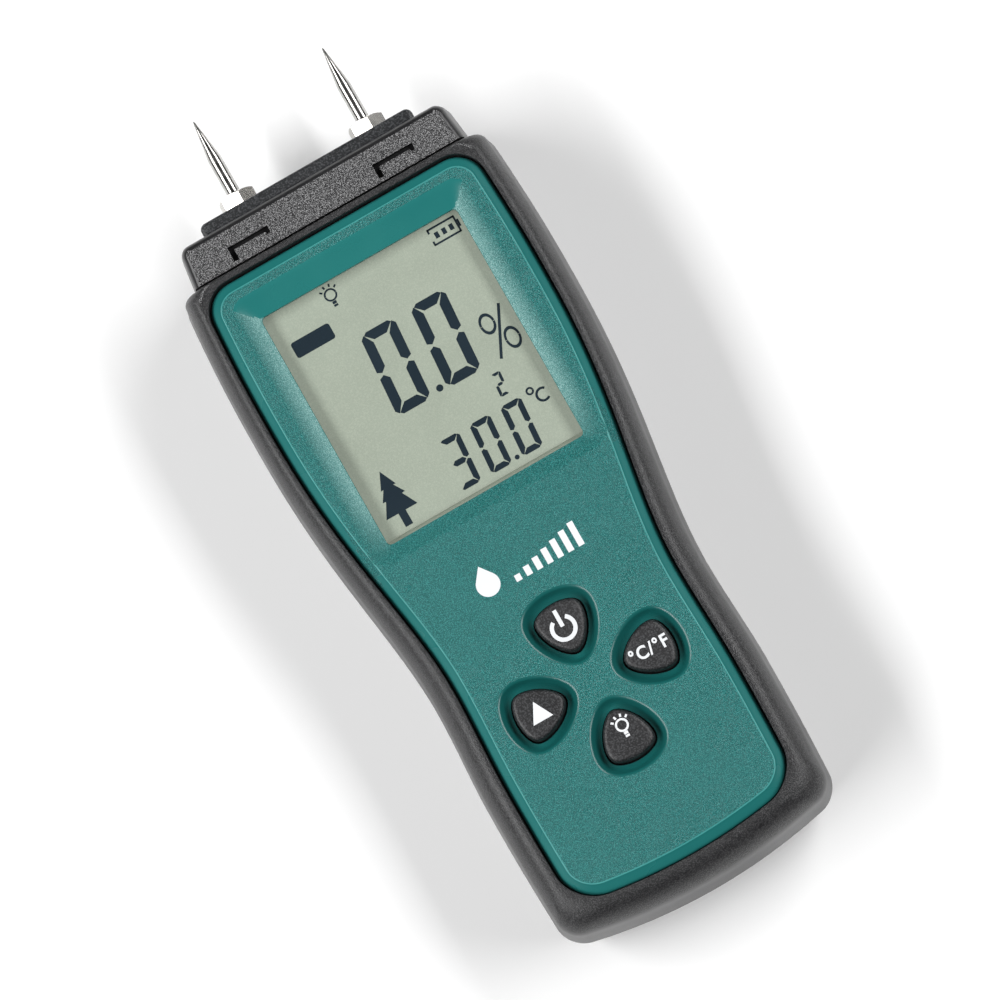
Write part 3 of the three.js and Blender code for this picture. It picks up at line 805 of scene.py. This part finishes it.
cover = {
    "top": coverHigh.z,
    "flatDrop": 0.07,
    "edge": ((0.15, 24.8), (0.15, 25.5), (0.22, 25.68), (0.38, 25.86), (0.62, 26.06), (0.95, 26.3),
             (1.3, 26.53), (1.6, 26.72), (1.8, 26.86), (1.9, 26.96), (1.97, 27.0), (2.07, 27.0),
             (2.15, 26.93)),
    "dish": ((0.3, 25.82), (0.55, 26.22), (0.8, 26.62), (0.9, 26.77), (0.98, 26.87), (1.06, 26.93),
             (1.2, 27.4)),
    "bowl": ((0.2, 25.15), (0.6, 25.2), (1.0, 25.36), (1.35, 25.68), (1.65, 26.15), (1.85, 26.5),
             (2.0, 26.7), (2.2, 26.85), (2.45, 26.92), (2.5, 26.93), (2.55, 27.5)),
    "cutLow": 24,             # cuts start below the cover
    "cutHigh": 28,            # and end above it
    "keyGap": 0.35,
    "keysReach": 18,
}
window = {
    "halfWidth": 19,
    "low": -3.2,
    "high": 41.6,
    "corner": 0.8,
    "lip": 0.3,               # flat rim between the opening and the dish
    "dishSide": 3.6,
    "dishTop": 4.3,
    "dishLow": 3.3,
    "dishFloor": 25.5,
}
keys = {
    "y": -40.7,
    "radius": 10.4,
    "size": 4.5,
    "lobe": 0.47,
    "flatness": -0.025,
    "narrowing": 0.96,
    "turns": {"power": 0, "up": 90, "light": 180, "units": -90},
    "cap": ((0, 20.9), (0, 26.75), (-0.07, 27.1), (-0.25, 27.38), (-0.5, 27.53), (-0.85, 27.58),
            (-1.4, 27.58)),
    "flange": ((0.75, 22.4), (0.75, 23.4)),
}
caseScrews = [(19.5, 46), (-19.5, 46), (15.5, -13.5), (-15.5, -13.5)]


def keyRing(turn, margin, z, steps=60):
    # Rounded triangle, its tip towards the middle of the cross. A margin moves the edge out evenly.
    angle = math.radians(turn)
    cosine, sine = math.cos(angle), math.sin(angle)
    points = []
    for i in range(steps):
        a = 2 * math.pi * i / steps
        reach = keys["size"] + margin + keys["lobe"] * math.cos(3 * a) + keys["flatness"] * math.cos(6 * a)
        slip = -3 * keys["lobe"] * math.sin(3 * a) - 6 * keys["flatness"] * math.sin(6 * a)
        x = (reach * math.sin(a) + slip * math.cos(a)) * keys["narrowing"]
        y = keys["radius"] + keys["lobe"] - (reach * math.cos(a) - slip * math.sin(a))
        points.append((x * cosine - y * sine, keys["y"] + x * sine + y * cosine, z))
    return points


# Slope, Edge and Recess are lighter and darker copies of the teal: painted highlight on the dish sides and
# ridge, painted shade in the key recesses
coverFinishes = ("Grained", "Smooth", "Slope", "Edge", "Recess")


def makeCover():
    flat = cover["top"] - cover["flatDrop"]
    plate = loft("front_cover_shell", [outline(inset(panel, d), z) for d, z in cover["edge"]])
    w = window

    def ringAbove(out, z, corner):
        return roundedBox(w["halfWidth"] + out, w["low"] - out, w["high"] + out, corner, z)

    floorZ, lip = w["dishFloor"], w["lip"]
    opening = loft("opening", [
        ringAbove(0, cover["cutLow"], w["corner"]),
        ringAbove(0, floorZ - 0.2, w["corner"]),
        ringAbove(0.08, floorZ - 0.06, w["corner"]),
        ringAbove(lip, floorZ, 1),
        ringAbove(lip, cover["cutHigh"], 1),
    ])
    slope = []
    for out, z in ((0.06, floorZ), *cover["dish"]):
        side, low, high = w["dishSide"] * out, w["dishLow"] * out, w["dishTop"] * out
        reach = (w["halfWidth"] + side, w["low"] - low, w["high"] + high)
        slope.append(roundedBox(*reach, w["corner"] + 2 * out, z, 8))
    carve(plate, opening, loft("dish", slope))
    for turn in keys["turns"].values():
        recess = [keyRing(turn, margin, z) for margin, z in cover["bowl"]]
        hole = [keyRing(turn, cover["keyGap"], cover[end]) for end in ("cutLow", "cutHigh")]
        carve(plate, loft("recess", recess), loft("hole", hole))
    smoothOver(plate, 40)
    dress(plate, "case", "teal_shell", *(materials["teal" + n] for n in coverFinishes))
    for face in plate.data.polygons:
        x, y, z = face.center / mm
        sunk = z < flat - 0.02
        # The key recesses take the darker recess finish, painted shade
        keyRecessShade = sunk and math.hypot(x, y - keys["y"]) < cover["keysReach"]
        atTopSlope = sunk and y > w["high"] and abs(x) < w["halfWidth"] + (y - w["high"])
        atRim = sunk and not (abs(x) < 24 and -8 < y < 48)
        # The ridge takes the lighter edge finish, a painted highlight line
        ridge = z > flat + 0.01
        # Side slopes of the dish take the lighter slope finish, a painted highlight
        sideSlopeHighlight = sunk and face.normal.z > 0.5 and abs(face.normal.x) > 0.15
        smooth = atTopSlope or atRim or face.normal.z < 0.5
        face.material_index = 4 if keyRecessShade else 3 if ridge else 1 if smooth else 2 if sideSlopeHighlight else 0
    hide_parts("front_cover")


makeCover()
print("front cover made")


# Keys, each with its white print

prints = {
    "thickness": 0.02,
    "top": 27.6,
    "ringRadius": 2.0,
    "ringWidth": 0.72,
    "ringOpen": (125, 415),   # degrees at which the ring starts and ends
    "powerCentre": (-0.15, -30.5),
    "triangle": ((-12.65, -42.42), (-8.87, -42.42), (-10.76, -38.8)),
    "unitsBox": ((7.0, -41.93), (14.1, -39.46)),
    "bulbCentre": (0.3, -49.7),
}


def plate(name, points, z, thickness):
    return loft(name, [[(x, y, z) for x, y in points], [(x, y, z + thickness) for x, y in points]])


def bar(start, end, width, z, thickness):
    ax, ay = start
    bx, by = end
    length = math.hypot(bx - ax, by - ay)
    nx, ny = (by - ay) / length * width / 2, -(bx - ax) / length * width / 2
    points = [(ax + nx, ay + ny), (bx + nx, by + ny), (bx - nx, by - ny), (ax - nx, ay - ny)]
    return plate("bar", points, z, thickness)


def arcBand(centre, radius, width, fromAngle, toAngle, z, thickness, squeeze=1.0, steps=24):
    x, y = centre
    angles = [math.radians(mix(fromAngle, toAngle, i / steps)) for i in range(steps + 1)]
    points = []
    for reach, way in ((radius + width / 2, angles), (radius - width / 2, reversed(angles))):
        points += [(x + reach * squeeze * math.cos(a), y + reach * math.sin(a)) for a in way]
    return plate("arc", points, z, thickness)


def ringPrint(centre, radius, width, z, thickness, squeeze=1.0):
    # A flattened ring of two facing arcs with a hair's gap
    return [
        arcBand(centre, radius, width, 1, 179, z, thickness, squeeze),
        arcBand(centre, radius, width, 181, 359, z, thickness, squeeze),
    ]


def bulbSign(centre, size, line, z, thickness):
    x, y = centre
    parts = ringPrint(centre, size, line, z, thickness)
    for top, low in ((1.2, 1.7), (1.82, 2.2)):
        parts.append(bar((x, y - size * top), (x, y - size * low), size * 0.75, z, thickness))
    for angle in (38, 72, 108, 142):
        a = math.radians(angle)
        near, far = size * 1.4, size * 1.95
        start = (x + near * math.cos(a), y + near * math.sin(a))
        parts.append(bar(start, (x + far * math.cos(a), y + far * math.sin(a)), line, z, thickness))
    return parts


def lettering(words, low, high, z, thickness):
    # Flat letters in the built-in face, fitted to a box
    deselectAll()
    bpy.ops.object.text_add()
    letters = bpy.context.object
    letters.data.body = words
    letters.data.offset = 0.026
    letters.data.space_character = 1.14
    letters.data.extrude = 0.02
    bpy.ops.object.convert(target="MESH")
    letters = bpy.context.object
    corners = [v.co.copy() for v in letters.data.vertices]
    near = Vector([min(c[i] for c in corners) for i in range(3)])
    far = Vector([max(c[i] for c in corners) for i in range(3)])
    for vertex in letters.data.vertices:
        share = [(vertex.co[i] - near[i]) / (far[i] - near[i]) for i in range(3)]
        vertex.co = Vector((
            mix(low[0], high[0], share[0]), mix(low[1], high[1], share[1]), z + thickness * share[2],
        )) * mm
    return letters


def keyPrint(name):
    z, t = prints["top"] - prints["thickness"], prints["thickness"]
    if name == "power":
        x, y = prints["powerCentre"]
        return [
            arcBand((x, y), prints["ringRadius"], prints["ringWidth"], *prints["ringOpen"], z, t, 1.0, 40),
            bar((x, y + 0.3), (x, y + 3.4), prints["ringWidth"], z, t),
        ]
    if name == "up":
        return [plate("triangle", prints["triangle"], z, t)]
    if name == "units":
        return [lettering("°C/°F", *prints["unitsBox"], z, t)]
    return bulbSign(prints["bulbCentre"], 1.0, 0.36, z, t)


def makeKeys():
    # Soft caps with rounded shoulders and a flat top, and a flange under the cover
    for name, turn in keys["turns"].items():
        cap = loft(f"key_cap_{name}", [keyRing(turn, margin, z) for margin, z in keys["cap"]])
        flange = loft("flange", [keyRing(turn, margin, z) for margin, z in keys["flange"]])
        weld(cap, flange)
        smoothOver(cap, 40)
        dress(cap, f"key_{name}", "key_rubber", materials["keyRubber"])
        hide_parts(f"key_{name}")
        printed = joinPieces(f"key_print_{name}", keyPrint(name))
        dress(printed, f"key_{name}", "key_rubber", materials["printWhite"])


makeKeys()
print("keys made")


# Front case: wall, broad rounded shoulder, thin rim, and the collar with its two catch pockets

collar = {
    "halfWidth": 27.1,
    "top": 60,
    "corner": 1.8,
    "draft": 0.125,
    "pocketX": 14.15,
    "pocketLength": 7.7,
    "pocketLow": 52.6,
    "pocketHigh": 55.2,
    "pocketDepth": 0.5,
    "slotWidth": 0.7,
    "slotDepth": 1.5,
    "frontZ": 25,
    "frontRings": ((0, 14.0), (0.2, 17), (0.4, 20.0), (0.6, 22.2), (0.75, 23.4), (0.9, 24.0),
                   (1.15, 24.5), (1.5, 24.82), (1.95, 24.97), (2.4, 25.0)),
    "rearRings": ((3.2, 2.0), (2.5, 2.05), (1.9, 2.3), (1.4, 2.7), (1.0, 3.4), (0.8, 4.2),
                  (0.1, 13.7)),
}


def collarRing(distance, z, steps=8):
    top = collar["top"] - distance
    low = form["shoulderY"] - 6

    def side(y):
        return collar["halfWidth"] - distance - collar["draft"] * (y - form["shoulderY"])

    start = (side(top - collar["corner"]), top - collar["corner"])
    right = [(side(low), low)]
    right += cornerArc(start, (start[0], top), (start[0] - collar["corner"], top), steps)
    left = [(-x, y) for x, y in reversed(right)]
    return [(x, y, z) for x, y in right + left]


def pocket(side):
    # A floor that ramps down towards the pins, with a deep slot along its far side and one end
    c = collar
    x0 = side * c["pocketX"] - c["pocketLength"] / 2
    x1 = x0 + c["pocketLength"]
    low, high, top = c["pocketLow"], c["pocketHigh"], c["frontZ"]
    section = [(low, top + 0.05), (high, top - c["pocketDepth"]), (high, top + 1), (low, top + 1)]
    ramp = loft("pocket", [[(x, y, z) for y, z in section] for x in (x0, x1)])
    slot, deep = c["slotWidth"], top - c["slotDepth"]
    weld(
        ramp,
        block("farSlot", (x0 + 0.1, high - slot, deep), (x1 - 0.1, high + 0.03, top + 1.1)),
        block("endSlot", (x0 - 0.03, low - 0.03, deep - 0.02), (x0 + slot * 1.3, high + 0.06, top + 1.2)),
        block("nearSlot", (x1 - slot, high - 1.2, deep - 0.02), (x1 + 0.03, high + 0.06, top + 1.2)),
    )
    return ramp


def collarRoom(lowZ, highZ):
    # Space that both case halves leave in the collar
    return block("room", (-24, form["shoulderY"] - 6, lowZ), (24, 57.6, highZ))


def blockRoom():
    return block("blockRoom", (-20.9, 56, 4.7), (20.9, 62, 22.6))


def makeFrontCase():
    low = form["partingZ"] + form["gap"] / 2
    rim = {**inset(panel, -0.5), "top": form["shoulderY"] - 0.6, "topCorner": 4}
    wallTop = inset(body, 0.55, 0)
    shoulderZ, rimZ = 20.5, frontHigh.z
    foot = ((0.06, low), (0, low + 0.12), (0.4, shoulderZ - 2))
    rings = [outline(inset(body, d, 0), z) for d, z in foot]
    steps = 12
    for i in range(steps + 1):
        angle = math.pi / 2 * i / steps
        edge = blendEdges(wallTop, rim, 1 - math.cos(angle))
        rings.append(outline(edge, mix(shoulderZ, rimZ, math.sin(angle))))
    shell = loft("front_case_shell", rings)
    weld(shell, loft("collar", [collarRing(d, z) for d, z in collar["frontRings"]]))
    inner = inset(body, form["wall"])
    mouth = outline(inset(panel, -0.4), 22)
    cavity = loft("cavity", [outline(inner, low - 1), outline(inner, low + 2), mouth])
    ledge = ((0.15, 24.1), (0.15, rimZ - 0.25), (0.18, rimZ - 0.08), (0.27, rimZ), (0.27, 28))
    seat = loft("seat", [outline(inset(panel, -d), z) for d, z in ledge])
    throat = loft("throat", [outline(inset(panel, 1.6), low), outline(inset(panel, 1.6), rimZ)])
    carve(shell, cavity, seat, throat, collarRoom(low - 1, 22.8), blockRoom(), pocket(1), pocket(-1))
    top = form["shoulderY"]
    carve(shell, block("groove", (-28, top - 0.02, 23.8), (28, top + 0.36, 26)))
    smoothOver(shell, 35)
    dress(shell, "case", "black_shell", *(materials["black" + n] for n in ("Smooth", "Grained", "Rim")))
    for face in shell.data.polygons:
        x, y, z = face.center / mm
        onCollar = y > top - 2.6 and z > 24.3 and face.normal.z > 0.965
        onRim = z > shoulderZ + 2.5 and y < top
        face.material_index = 1 if onCollar else 2 if onRim else 0
    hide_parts("front_case")


makeFrontCase()
print("front case made")


# Rear case and the sliding battery cover

rear = {
    "rings": ((5.6, 0), (4.9, 0.03), (4.3, 0.18), (3.8, 0.5), (3.4, 0.95), (3.1, 1.4), (2.75, 2.1),
              (2.2, 3.2), (1.6, 5.4), (1, 8), (0.35, 12), (0.1, 13.7)),
    "bayHalf": 16.3,
    "bayLow": -72,
    "bayHigh": -21.8,
    "bayCeiling": 13.4,
    "doorHalf": 19.5,
    "doorHigh": -18.2,
    "doorThickness": 2,
    "doorWrap": 9,
}


def rearBody(name, distance=0.0):
    return loft(name, [outline(inset(body, d + distance, 0.3), z + distance) for d, z in rear["rings"]])


def doorSkin(name, clearance):
    skin = carve(rearBody(name, -clearance), rearBody("inside", rear["doorThickness"] + clearance))
    half = rear["doorHalf"] + clearance
    far = (half, rear["doorHigh"] + clearance, rear["doorWrap"] + clearance)
    return change(skin, block("reach", (-half, body["bottom"] - 2, -1), far), "INTERSECT")


def makeRearCase():
    top = form["partingZ"] - form["gap"] / 2
    shell = rearBody("rear_case_shell")
    weld(shell, loft("collar", [collarRing(d, z) for d, z in collar["rearRings"]]))
    room = {**inset(body, form["wall"] + 0.6), "bottom": body["bottom"] + 5.3}
    hollow = ((2, 2.2), (0.8, 5), (0, top + 1))
    cavity = loft("cavity", [outline(inset(room, d), z) for d, z in hollow])
    carve(shell, cavity, collarRoom(4.2, top + 1), blockRoom())
    r = rear
    half, wall = r["bayHalf"], 1.2
    low, high = (-half - wall, r["bayLow"] - 2.8, 2.2), (half + wall, r["bayHigh"] + wall, 14.6)
    weld(shell, block("bay", low, high))
    carve(shell, block("cells", (-half, r["bayLow"], -1), (half, r["bayHigh"], r["bayCeiling"])))
    hookEnd = r["doorHigh"] + 0.3
    for side in (-1, 1):
        near, far = sorted((side * 15.6, side * 17.5)), sorted((side * 17.4, side * 19.4))
        slot = block("slot", (near[0], -82, -1), (near[1], hookEnd, 4.9))
        carve(shell, slot, block("hook", (far[0], -82, 3.3), (far[1], hookEnd, 4.9)))
    carve(shell, doorSkin("doorRoom", form["gap"]))
    for x, y in caseScrews:
        weld(shell, post(x, y, 3.6, 1, 13.6))
        carve(shell, post(x, y, 2.9, -1, 7), post(x, y, 1.4, 5, 15))
    smoothOver(shell, 35)
    dress(shell, "case", "black_shell", materials["blackSmooth"], materials["blackGrained"])
    for face in shell.data.polygons:
        x, y, z = face.center / mm
        face.material_index = 1 if face.normal.z < -0.9 and z < 0.6 else 0
    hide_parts("rear_case")


def makeBatteryCover():
    # Skin of the same curve as the case, with hooked ribs inside and thumb ridges outside
    skin = doorSkin("battery_cover_shell", 0.0)
    for side in (-1, 1):
        rib, lip = sorted((side * 15.9, side * 17.1)), sorted((side * 15.9, side * 19))
        weld(
            skin,
            block("rib", (rib[0], rear["bayLow"] - 1.5, 1.5), (rib[1], rear["doorHigh"] - 1, 4.5)),
            block("lip", (lip[0], rear["bayLow"] - 1.5, 3.7), (lip[1], rear["doorHigh"] - 1, 4.5)),
        )
    for i in range(6):
        y = -27 - 2.2 * i
        half = 9 - 1.1 * i
        groove = block("groove", (-half, y - 0.55, -1), (half, y + 0.55, 0.55), 0.25)
        carve(skin, groove)
    smoothOver(skin, 35)
    dress(skin, "battery_cover", "black_shell", materials["blackSmooth"], materials["blackGrained"])
    for face in skin.data.polygons:
        face.material_index = 1 if face.normal.z < -0.9 and face.center.z < 0.6 * mm else 0
    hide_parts("battery_cover")


makeRearCase()
makeBatteryCover()
print("rear case and battery cover made")


# Battery cells: the middle one lies the other way round

cellForm = {
    "nubRadius": 1.9,
    "nubLength": 1.0,
    "rounding": 0.4,
    "sides": 48,
}


def makeCells():
    c = cellForm
    for number in (1, 2, 3):
        low, high = (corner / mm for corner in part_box(f"battery_{number}"))
        radius, length = (high.x - low.x) / 2, high.y - low.y
        soft, can = radius - c["rounding"], length - c["nubLength"]
        stations = (
            (soft, 0), (radius - 0.1, 0.12), (radius, c["rounding"]), (radius, can - c["rounding"]),
            (radius - 0.1, can - 0.12), (soft, can), (c["nubRadius"], can), (c["nubRadius"], length - 0.2),
            (c["nubRadius"] - 0.2, length),
        )
        raisedHigh = number != 2
        places = [(r, low.y + s if raisedHigh else high.y - s) for r, s in stations]
        centre = ((low.x + high.x) / 2, (low.z + high.z) / 2)
        cell = smoothOver(turned(f"battery_cell_{number}", centre, places, c["sides"]), 35)
        dress(cell, "case", "cell", materials[f"cell{number}"])
        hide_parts(f"battery_{number}")


makeCells()
print("cells made")


# Electrode block with its pins and nuts

electrodes = {
    "halfWidth": 20.6,
    "low": 53.2,
    "top": 61.6,
    "pinX": 12.7,
    "pinZ": 13.5,
    "nutAcross": 6,
    "nutLow": 61.9,
    "nutHigh": 65.0,
    "blockRings": ((0.7, 5.0), (0.35, 5.08), (0.1, 5.3), (0, 5.6), (0, 21.7), (0.1, 22.0),
                   (0.35, 22.22), (0.7, 22.3)),
    "pinStations": ((0.9, 53), (1.3, 53.1), (1.5, 53.4), (1.5, 65.0), (1.42, 65.2), (1.22, 65.5),
                    (1.22, 72.3), (1.2, 72.6), (1.02, 73.8), (0.62, 76.6), (0.2, 79.4), (0.06, 79.8)),
}


def makeElectrodes():
    e = electrodes
    rings = []
    for inward, z in e["blockRings"]:
        rings.append(roundedBox(e["halfWidth"] - inward, e["low"], e["top"] - inward, 1.2, z, 8))
    head = loft("electrode_block_shell", rings)
    weld(head, block("ears", (-22.6, e["low"], 5.7), (22.6, 57.3, 21.6)))
    for side in (-1, 1):
        bore = turned("bore", (side * e["pinX"], e["pinZ"]), ((2.8, 52), (2.8, 63)))
        carve(head, bore)
    smoothOver(head, 35)
    dress(head, "case", "block", materials["blockPlastic"])
    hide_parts("electrode_block")
    for name, side in (("left", -1), ("right", 1)):
        centre = (side * e["pinX"], e["pinZ"])
        needle = smoothOver(turned(f"needle_{name}", centre, e["pinStations"], 48), 30)
        dress(needle, "case", "needle", materials["needleSteel"])
        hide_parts(f"pin_{name}")
        radius = e["nutAcross"] / math.sqrt(3)
        low, high = e["nutLow"], e["nutHigh"]
        nut = turned(f"hex_nut_{name}", centre, ((radius, low), (radius, high)), 6, math.radians(16))
        crown = ((2.9, low - 0.01), (3.5, low + 0.35), (3.5, high - 0.35), (2.9, high + 0.01))
        change(nut, turned("crown", centre, crown, 64), "INTERSECT")
        carve(nut, turned("thread", centre, ((1.62, low - 1), (1.62, high + 1))))
        smoothOver(nut, 20)
        dress(nut, "case", "nickel", materials["polishedNickel"])
        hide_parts(f"pin_nut_{name}")


makeElectrodes()
print("electrodes made")


# Display: glass, segments and symbols

display = {
    "top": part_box("display_glass")[1].z / mm,
    "thickness": 0.03,
    "slant": math.tan(math.radians(4)),
    "big": {"low": 15.65, "height": 15.4, "width": 6.65, "stroke": 1.78, "lefts": (-7.0, 2.75)},
    "small": {"low": -0.95, "height": 9.3, "width": 3.95, "stroke": 1.02, "lefts": (-3.9, 2.1, 8.1)},
    "treeX": -14.25,
    "treeHalf": ((0, 9.05), (1.43, 5.95), (0.95, 6.0), (2.15, 4.05), (1.55, 4.0), (3.0, 1.2),
                 (0.7, 1.2), (0.7, -1.45)),
    "batteryLines": (
        ((12.8, 41.0), (18.0, 41.0)), ((12.8, 38.15), (18.0, 38.15)), ((17.9, 41.1), (17.9, 38.05)),
        ((12.9, 41.1), (12.9, 40.3)), ((12.9, 38.85), (12.9, 38.05)), ((18.25, 40.25), (18.25, 38.9)),
    ),
    "tiny": {"low": 9.75, "height": 4.2, "width": 1.75, "stroke": 0.5, "lefts": (9.8,)},
    "dots": ((1.6, 16.4, 0.62), (7.2, -0.5, 0.42)),
    "percentRings": (((13.95, 21.9), 1.65, 0.72), ((16.6, 17.8), 1.75, 0.68)),
    "percentLine": ((13.1, 15.5), (17.3, 24.1)),
    "degreeCentre": (14.55, 8.25),
    "letterCentre": (16.25, 6.7),
    "bulbCentre": (-6.7, 39.7),
    "batteryBars": (14.0, 15.4, 16.8),
    "label": (3.7, 32.85, 35.8, 0.5),
    "labelX": -13.1,
}
segmentsOf = {"0": "abcdef", "2": "abged", "3": "abgcd"}


def segmentShapes(size, left):
    w, h, s, low = size["width"], size["height"], size["stroke"], size["low"]
    g = s * 0.2
    mid = h / 2
    upright = [
        (0, h - g - s * 0.35), (s * 0.35, h - g), (s, h - s - g), (s, mid + s * 0.5 + g * 0.5),
        (s * 0.5, mid + g * 0.6), (0, mid + s * 0.35),
    ]
    level = [
        (g + s * 0.2, h - s * 0.25), (g + s * 0.5, h), (w - g - s * 0.5, h),
        (w - g - s * 0.2, h - s * 0.25), (w - s - g, h - s), (s + g, h - s),
    ]
    half = s * 0.5
    middle = [
        (half + g, mid), (s + g, mid + half), (w - s - g, mid + half), (w - half - g, mid),
        (w - s - g, mid - half), (s + g, mid - half),
    ]
    shapes = {
        "a": level,
        "d": [(x, h - y) for x, y in level],
        "f": upright,
        "b": [(w - x, y) for x, y in upright],
        "e": [(x, h - y) for x, y in upright],
        "c": [(w - x, h - y) for x, y in upright],
        "g": middle,
    }
    lean = display["slant"]
    return {
        letter: [(left + x + y * lean, low + y) for x, y in points] for letter, points in shapes.items()
    }


def digits(text, size, z, t):
    parts = []
    for numeral, left in zip(text, size["lefts"]):
        shapes = segmentShapes(size, left)
        parts += [plate("segment", shapes[letter], z, t) for letter in segmentsOf[numeral]]
    return parts


def makeDisplay():
    d = display
    z, t = d["top"], d["thickness"]
    parts = digits("00", d["big"], z, t) + digits("300", d["small"], z, t) + digits("2", d["tiny"], z, t)
    for x, y, radius in d["dots"]:
        parts.append(loft("dot", [circleRing(x, y, radius, z), circleRing(x, y, radius, z + t)]))
    for centre, radius, squeeze in d["percentRings"]:
        parts += ringPrint(centre, radius, 0.58, z, t, squeeze)
    parts.append(bar(*d["percentLine"], 0.5, z, t))
    parts += ringPrint(d["degreeCentre"], 0.55, 0.34, z, t)
    parts.append(arcBand(d["letterCentre"], 1.1, 0.42, 48, 312, z, t))
    right = [(d["treeX"] + x, y) for x, y in d["treeHalf"]]
    left = [(d["treeX"] - x, y) for x, y in reversed(d["treeHalf"][1:])]
    parts.append(plate("tree", right + left, z, t))
    parts += bulbSign(d["bulbCentre"], 1.0, 0.32, z, t)
    # Battery sign, open at its left end
    for start, end in d["batteryLines"]:
        parts.append(bar(start, end, 0.34, z, t))
    for x in d["batteryBars"]:
        parts.append(bar((x, 40.1), (x, 39.0), 0.75, z, t))
    parts.append(loft("label", [roundedBox(*d["label"], height, 4, d["labelX"]) for height in (z, z + t)]))
    signs = joinPieces("display_signs", parts)
    dress(signs, "case", "display", materials["segmentInk"])


makeDisplay()
print("display signs made")


# White print on the panel: a water drop beside a plain dry-to-wet scale

panelPrint = {
    "thickness": 0.02,
    "dropCentre": (-7.6, -17.6),
    "dropRadius": 2.1,
    "dropHeight": 5.6,
    "scaleLeft": -2.6,
    "scaleLow": -19.7,
    "bars": 7,
    "pitch": 2.0,
    "barWidth": 1.1,
    "shortest": 1.2,
    "growth": 0.55,
}


def makePanelPrint():
    p = panelPrint
    z, t = cover["top"] - cover["flatDrop"] - 0.005, p["thickness"]
    x, y = p["dropCentre"]
    bend = 36                 # degrees from the side where the round of the drop meets its straight flanks
    steps = 24
    points = []
    for i in range(steps + 1):
        a = math.radians(mix(bend, -180 - bend, i / steps))
        points.append((x + p["dropRadius"] * math.cos(a), y + p["dropRadius"] * math.sin(a)))
    points.append((x, y - p["dropRadius"] + p["dropHeight"]))
    parts = [plate("drop", points, z, t)]
    for i in range(p["bars"]):
        left = p["scaleLeft"] + i * p["pitch"]
        high = p["scaleLow"] + p["shortest"] + i * p["growth"]
        parts.append(bar((left, p["scaleLow"]), (left, high), p["barWidth"], z, t))
    printed = joinPieces("panel_print", parts)
    dress(printed, "case", "teal_shell", materials["printWhite"])


makePanelPrint()
print("panel print made")
